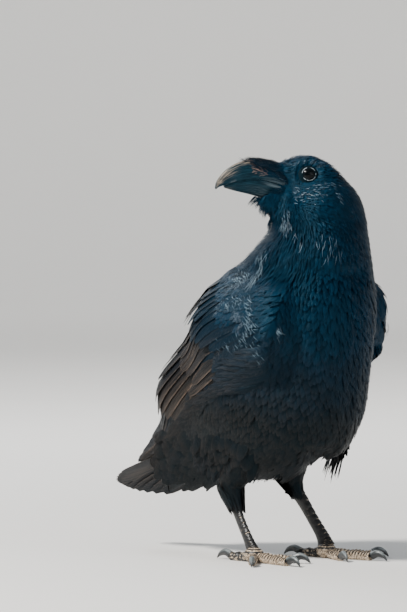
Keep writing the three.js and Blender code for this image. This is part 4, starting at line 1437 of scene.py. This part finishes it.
def free_bristles(material):
    """Tufts that stand up off the culmen, and hair-like bristles on the chin and throat."""
    count = 70
    forward = rng.uniform(43, 60, count)
    left = rng.normal(scale=3.0, size=count)
    roots = in_head(forward, 14.0 - 0.05 * left**2, left)
    ways = BILLWARD + np.outer(rng.uniform(0.15, 0.8, count), UP) + np.outer(0.05 * left, HEAD_LEFT)
    wisps("standing_bristles", roots, ways, np.cross(ways, HEAD_LEFT), rng.uniform(5, 10, count), 0.30,
          DOWN * 0.15, material, 0.2, 0.3)
    count = 110
    share, left = rng.random(count), rng.normal(scale=3.0, size=count)
    roots = in_head(50 - 10 * share, -20.5 - 5 * share, left)
    ways = BILLWARD * 0.8 + np.outer(rng.uniform(0.5, 1.0, count), DOWN) + np.outer(0.08 * left, HEAD_LEFT)
    wisps("chin_bristles", roots, ways, HEAD_LEFT + 0 * ways, rng.uniform(5, 12, count), 0.18,
          DOWN * 0.12, material, 0.1, 0.2)
    count = 260
    share, left = rng.random(count), rng.normal(scale=7.0, size=count)
    on_skin, out, _ = nearest(skin_tree, in_head(47 - 14 * share, -28 - 40 * share, left))
    ways = DOWN + 0.30 * BILLWARD + rng.normal(scale=0.10, size=(count, 3))
    wisps("throat_bristles", on_skin, ways, out, rng.uniform(7, 12, count), 0.26,
          -BILLWARD * 0.10, material, 0.1, 0.3)


# Strokes at strength 1, for each square millimetre of a spot's reach and for the whole of a wing's sheet.
GLINTS_PER_AREA, GLINTS_PER_SHEET = 0.36, 13000


def glints(name, roots, outs, ways, length, rise, half, material):
    """Painted highlights: fine short pale strokes over the coat, where bare barbs catch the light."""
    count = len(roots)
    long = rng.uniform(*length, count)
    off = rng.uniform(*rise, count)
    ways = unit(flattened(ways + rng.normal(scale=0.16, size=(count, 3)), outs) + 0.14 * outs)
    bend = flattened(rng.normal(scale=0.3, size=(count, 3)), outs) * 0.3 - 0.12 * outs
    roots = roots + outs * off[:, None]
    return wisps(name, roots, ways, outs, long, half, bend[:, None], material, worn=0.0, frost=1.0)


def head_glints(material):
    """Painted highlights: pale strokes on the crown, round the ear, on the throat and down the neck."""
    roots = []
    for forward, up, left, reach, strength in HIGHLIT_SPOTS:
        for sign in (1, -1):
            count = int(strength * reach * reach * GLINTS_PER_AREA)
            roots.append(in_head(forward, up, sign * left) + rng.normal(scale=0.5 * reach, size=(count, 3)))
    on_skin, outs, faces = nearest(skin_tree, np.concatenate(roots))
    ways = flow(on_skin, skin_part[skin_triangles[faces][:, 0]])
    off_bill = ~in_bill(on_skin, 1.5) & (from_eyes(on_skin) > 12)
    low = ease(-30, -50, head_place(on_skin)[2]) >= 0.5
    for name, chosen, length, half in (
        ("face_glints", off_bill & ~low, (3, 6), 0.14),
        ("throat_glints", off_bill & low, (6, 12), 0.13),
    ):
        out = outs[chosen]
        on_coat = on_skin[chosen] + out * coat_room(on_skin[chosen])[:, None]
        glints(name, on_coat, out, ways[chosen], length, (0.4, 1.6), half, material)


def wing_glints(side, sign, material):
    """Painted highlights: pale strokes on the wing's shoulder, where the feathers part."""
    point, outward = wing_sheet(sign)
    roots, ways = [], []
    for along, across, wide, tall, strength in WING_HIGHLIT_SPOTS:
        count = int(strength * wide * tall * GLINTS_PER_SHEET)
        a = along + 0.38 * wide * rng.normal(size=count)
        c = across + 0.38 * tall * rng.normal(size=count)
        roots.append(point(a, c) + outward(a, c) * 6.0)
        lengthwise = unit(point(a + 0.01, c) - point(a, c))
        crosswise = unit(point(a, c + 0.01) - point(a, c))
        ways.append(0.75 * crosswise - 0.45 * lengthwise)
    roots = np.concatenate(roots)
    on_solid = nearest(source_tree, roots)[0]
    facing = unit(roots - on_solid)
    glints(f"wing_{side}_glints", on_solid, facing, np.concatenate(ways), (4, 9), (0.6, 2.6), 0.14, material)
    if sign < 0:
        breast_glints(material)


def breast_glints(material, count=46):
    """A long painted highlight, in strokes, where the neck meets the right shoulder."""
    upper, lower = np.array([-42.0, -21.0, 309.0]), np.array([-58.0, -17.0, 266.0])
    share = rng.random(count)[:, None]
    roots = upper + (lower - upper) * share + rng.normal(scale=1.6, size=(count, 3))
    on_skin, outs, _ = nearest(skin_tree, roots)
    room = coat_room(on_skin)[:, None]
    ways = unit(lower - upper) + rng.normal(scale=0.12, size=(count, 3))
    glints("breast_glints", on_skin + outs * room, outs, ways, (8, 16), (0.4, 1.2), 0.14, material)


# Loose feathers on the trunk: how many, the corners of the box their roots are near, how far back and down
# they point and how far out they lean, their length and half-width, how worn they are, how far their tips
# are drawn out, and how much their ways differ.
HANGING = {
    "flank_left": (130, (44, 17, 96), (90, 70, 128), (0.45, 1), -0.02, (20, 28), 5.2, 0.95, 0.4, 0.03),
    "vent_left": (150, (4, 60, 84), (60, 150, 132), (1, 0.58), -0.03, (19, 28), 6.0, 1.0, 0.35, 0.03),
    "flank_right": (130, (-90, -7, 96), (-44, 70, 128), (0.45, 1), -0.02, (20, 28), 5.2, 0.95, 0.4, 0.03),
    "vent_right": (150, (-60, 60, 84), (-4, 150, 132), (1, 0.58), -0.03, (19, 28), 6.0, 1.0, 0.35, 0.03),
    "rump": (60, (-18, 120, 110), (18, 165, 140), (1, 0.95), -0.04, (18, 27), 4.4, 0.85, 0.35, 0.03),
    "undertail": (190, (-30, 90, 50), (30, 154, 84), (1, 0.14), -0.02, (18, 28), 5.2, 1.0, 0.35, 0.04),
    "belly_fringe": (900, (-56, -40, 55), (56, 110, 60), (0.7, 0.55), 0.10, (6, 11), 1.2, 1.0, 0.7, 0.14),
    "far_flank": (90, (56, -42, 108), (76, -14, 132), (0, 1), 0.08, (15, 22), 4.6, 0.9, 0.4, 0.04),
}


def hanging(name, material, count, low, high, way, out_share, length, half, worn, tipward, spread):
    """Loose vanes rooted on the trunk nearest to random places in a box, hanging free of it."""
    on_skin, out, faces = nearest(skin_tree, rng.uniform(low, high, (count, 3)))
    on_trunk = ~np.isin(skin_part[skin_triangles[faces][:, 0]], THIGHS)
    on_skin, out = on_skin[on_trunk], out[on_trunk]
    count = len(out)
    way = unit(BACKWARD * way[0] + DOWN * way[1])
    ways = way + out_share * out + rng.normal(scale=spread, size=(count, 3))
    facing = flattened(out, unit(ways))
    long = rng.uniform(*length, count)
    wisps(name, on_skin, ways, facing, long, half, DOWN * 0.06, material, worn, 0.0, tipward)


def flank_tuft(material, count=26):
    """The long loose feathers that hang in front of the far thigh."""
    roots = np.stack([rng.uniform(*ends, count) for ends in ((60, 66), (-22, -4), (108, 118))], -1)
    ways = DOWN + np.outer(rng.uniform(0.10, 0.42, count), BACKWARD) + np.array([-0.12, 0, 0])
    outs = np.array([1.0, -0.4, 0]) + 0 * ways
    long = rng.uniform(26, 40, count)
    wisps("flank_tuft", roots, ways, outs, long, 1.9, BACKWARD * 0.04, material, 0.9, 0.0, 0.8)


def trousers(side, sign, hem, material, count=260):
    """Short feathers that close round the tarsus below the thigh, down to the hem's height."""
    heel, ball = leg_line(sign)
    root_height = rng.uniform(hem + 8, hem + 24, count)
    tip_height = hem + rng.uniform(-6, 2, count)
    spin = rng.uniform(0, math.tau, count)
    around = np.stack([np.cos(spin), np.sin(spin), 0 * spin], -1)

    def axis(height):
        share = (heel[2] - height) / (heel[2] - ball[2])
        return heel + (ball - heel) * share[:, None]

    on_skin, outs, _ = nearest(skin_tree, axis(root_height) + around * 13.0)
    ways = axis(tip_height) + around * 5.2 - on_skin
    long = np.linalg.norm(ways, axis=1)
    bulk = 0.8 + 4.0 * ease(0.1, 0.8, around @ unit(np.array([sign, 1.0, 0.0])))  # behind and outside
    roots = on_skin + outs * bulk[:, None]
    wisps(f"trousers_{side}", roots, ways, outs, long, 2.0, 0 * UP, material, 1.0, 0.0, 0.6)


# ---- camera, light and floor --------------------------------------------------------------------
AZIMUTH, ELEVATION = math.radians(45), math.radians(1.5)
TARGET = np.array([-58.3, 58.3, 254.0])
DISTANCE, PICTURE_HEIGHT, SENSOR = 4000.0, 612.0, 36.0
MIDDLE_GAP = 0.0001  # keeps the backdrop's first ring open
# The backdrop's section: how far out, and how high, in metres.
BACKDROP = [(0.0, 0.0), (3.0, 0.0), (5.6, 0.0), (6.4, 0.12), (7.0, 0.55), (7.3, 1.3), (7.4, 2.4), (7.4, 4.2)]


def aimed(made, place, way):
    made.location = place
    made.rotation_euler = Vector(way).to_track_quat("-Z", "Y").to_euler()
    return made


def studio():
    """The photo's camera, a pale sweep for the floor, and soft lights."""
    level = math.cos(ELEVATION)
    view_from = np.array([-math.cos(AZIMUTH) * level, -math.sin(AZIMUTH) * level, math.sin(ELEVATION)])
    camera = bpy.data.cameras.new("Camera")
    camera.sensor_width = SENSOR
    camera.lens = SENSOR * DISTANCE / PICTURE_HEIGHT
    camera.clip_end = 40
    scene = bpy.context.scene
    scene.camera = aimed(linked("Camera", camera), metres(TARGET + view_from * DISTANCE), -view_from)

    finish = Finish("Studio floor", Roughness=0.8, Specular_IOR_Level=0.15)
    finish.show(Base_Color=finish.mix(finish.noise(3.0), (0.80, 0.79, 0.77), (0.83, 0.82, 0.80)))
    spin = np.linspace(0, math.tau, 96, endpoint=False)
    section = smooth_path(BACKDROP)(np.linspace(0, 1, 60))
    out = section[:, 0] + MIDDLE_GAP
    high = np.repeat(np.maximum(section[:, 1:], 0.0), len(spin), 1)
    rings = np.stack([np.outer(out, np.cos(spin)), np.outer(out, np.sin(spin)), high], -1)
    backdrop = bpy.data.meshes.new("backdrop")
    faces = [tuple(int(i) for i in face) for face in tube(rings, capped=False)]
    backdrop.from_pydata(rings.reshape(-1, 3).tolist(), [], faces)
    backdrop.shade_smooth()
    backdrop.materials.append(finish.material)
    linked("backdrop", backdrop)

    world = bpy.data.worlds.new("Studio")
    world.use_nodes = True
    background = world.node_tree.nodes["Background"]
    background.inputs["Color"].default_value = (0.82, 0.88, 0.95, 1)
    background.inputs["Strength"].default_value = 0.36
    scene.world = world

    right = np.cross(UP, view_from)
    bird, wall = np.array([0, -0.05, 0.25]), UP * 1.5 - view_from * 5
    for name, place, target, power, size, colour in (
        ("Key", view_from * 1.2 - right * 1.8 + UP * 2.4, bird, 190, 0.6, (1.0, 0.97, 0.92)),
        ("Fill", view_from * 1.8 + right * 1.7 + UP * 0.9, bird, 16, 1.6, (0.88, 0.94, 1.0)),
        ("Backdrop", -view_from * 2.0 + UP * 3.2, wall, 160, 2.5, (1.0, 0.99, 0.97)),
        ("Rim", -view_from * 1.8 - right * 0.9 + UP * 1.8, bird, 18, 1.0, (0.92, 0.96, 1.0)),
    ):
        light = bpy.data.lights.new(name, "AREA")
        light.energy = power
        light.size = size
        light.color = colour
        aimed(linked(name, light), place, target - place)


# ---- the coat's pieces --------------------------------------------------------------------------
def coat_roots():
    """Where the coat's feathers are rooted, clear of the bill, the eyes and the wings' own rows."""
    roots, facing, part, apart = scatter(skin_points, skin_triangles, skin_normals, skin_part)
    keep = ~in_bill(roots) & (from_eyes(roots) > 8.6)
    on_wings = [on_wing(roots, sign) for sign in (1, -1)]
    for along, across, away in on_wings:
        front = 0.265 + 0.03 * ease(0.3, 0.0, across) + 0.04 * ease(0.62, 0.8, across)
        keep &= ~((away < 9) & (along > front) & (across > 0.02) & (across < 0.93) & (part == ARM))
    # How strongly painted highlights fall from the spots on the wings.
    wing_highlight = highlight_by_wings(roots, on_wings)
    return (v[keep] for v in (roots, facing, part, apart, wing_highlight))


def coat(material):
    """The body feathers: short on the face, long on the throat and belly, broad on the back."""
    roots, facing, part, apart, wing_highlight = coat_roots()
    forward, _, up = head_place(roots)
    _, y, z = roots.T
    count = len(roots)
    trunk = part == PARTS["trunk"]
    head = part == PARTS["head"]
    throat = ease(-22, -36, up) * ease(-8, 12, forward) * ease(262, 300, z)
    bristle = nasal(roots)
    belly = ease(150, 90, z) * trunk
    mantle = trunk * ease(0.0, 0.5, facing @ UP_AND_BACK)
    rear = ease(70, 130, y) * trunk * ease(190, 150, z) * (1 - mantle)
    low = np.maximum(belly, rear)
    long = 4.4 + 1.5 * throat + 2.6 * bristle + 0.9 * belly + 1.2 * rear + 1.8 * mantle
    length = apart * long * rng.uniform(0.82, 1.18, count)
    wide = 0.86 - 0.44 * throat - 0.52 * bristle + 0.5 * mantle
    half = apart * wide * rng.uniform(0.85, 1.15, count)
    turn = rng.normal(scale=0.08 + 0.12 * throat + 0.08 * belly, size=count)
    shafts, outs = walked(roots, facing, part, length, turn, 0.15 + 0.45 * low)
    room = coat_room(shafts[:, OUTER_ROW])
    share = np.linspace(0, 1, COAT_ROWS)
    fuller = 1.0 * head * ease(-8, 4, up) + 0.5 * throat * ease(-66, -46, up) + 0.3 * head
    loose = 0.08 * apart + 0.4 * throat + 0.4 * bristle + 0.6 * belly + fuller
    top = (room + loose * rng.uniform(0.3, 1.4, count))[:, None]
    shafts = shafts + outs * (top * share**0.75 - 0.35 * (1 - share))[..., None]
    round_tip, drawn_tip = outline(COAT_ROWS, 0.45, 0.5), outline(COAT_ROWS, 0.5, 1.0)
    pointed = np.clip(0.25 + throat + bristle + 0.5 * belly, 0, 1)[:, None]
    halves = half[:, None] * (round_tip * (1 - pointed) + drawn_tip * pointed)
    # Painted highlights near the spots on the head and on the wings.
    frost = np.maximum(0.45 * highlight_near_spots(shafts[:, OUTER_ROW]), 0.2 * wing_highlight) * rng.uniform(0.2, 1.0, count)
    tags = feather_tags(length, np.maximum(wear_and_sky_tint(roots), 0.3 * bristle), 0.2 * bristle)
    tags["frost"] = tags["frost"] + frost
    in_front, on_face = y < -10, forward > 4
    middle, side = np.array([0, 20.0, 180.0]), np.array([1.0, 0, 0])
    in_skull = (in_head(0, -30), BILLWARD, HEAD_LEFT)
    for name, chosen, seams in (
        ("coat_face", head & on_face, in_skull),
        ("coat_crown", head & ~on_face, in_skull),
        ("coat_neck", part == PARTS["neck"], (middle, UP, side)),
        ("coat_breast", trunk & in_front, (middle, UP, side)),
        ("coat_back", trunk & ~in_front, (middle, FORWARD_AND_UP, side)),
        ("coat_arms", part == ARM, (middle, UP, side)),
        ("coat_thighs", np.isin(part, THIGHS), (middle, UP, side)),
    ):
        bake = (unwrapped(roots[chosen], *seams), PATCH)
        own = {key: value[chosen] for key, value in tags.items()}
        piece = vanes(name, shafts[chosen], outs[chosen], halves[chosen], material, own, bake,
                      ragged=0.06, thick=0.15, camber=0.09)
        belongs(piece, "plumage")


# ---- the bird -----------------------------------------------------------------------------------
studio()
skin_piece()
soft, stiff = plumage("Raven plumage"), flight_plumage()
coat(soft)
for bristle_name, row in BRISTLES.items():
    strands(bristle_name, soft, *row)
free_bristles(soft)
highlight_strokes, tan_highlights = highlight_finish("Raven barb highlights", GLINT), highlight_finish("Raven bristle highlights", TAN_HIGHLIGHT)
head_glints(highlight_strokes)
strands("tan_highlit_bristles", tan_highlights, *TAN_HIGHLIT_BRISTLES)
strands("gape_glints", highlight_strokes, *GAPE_GLINTS)
for loose_name, row in HANGING.items():
    hanging(loose_name, soft, *row)
flank_tuft(soft)
for body_side, body_sign, hem in (("left", 1, 63.0), ("right", -1, 53.0)):
    trousers(body_side, body_sign, hem, soft)
tail(stiff)
horn_finish, eye_finish, lid_finish = horn(), eye_surface(), lid_skin()
bill_half("bill_upper_horn", UPPER_BILL, horn_finish, True)
bill_half("bill_lower_horn", LOWER_BILL, horn_finish, False)
scales, claws = scaled_skin(), claw_horn()
for body_side, body_sign in (("left", 1), ("right", -1)):
    wing(body_side, body_sign, stiff)
    edge_cover(body_side, body_sign, soft)
    wing_glints(body_side, body_sign, highlight_strokes)
    eye(body_side, body_sign, eye_finish, lid_finish)
    leg(body_side, body_sign, scales, claws)
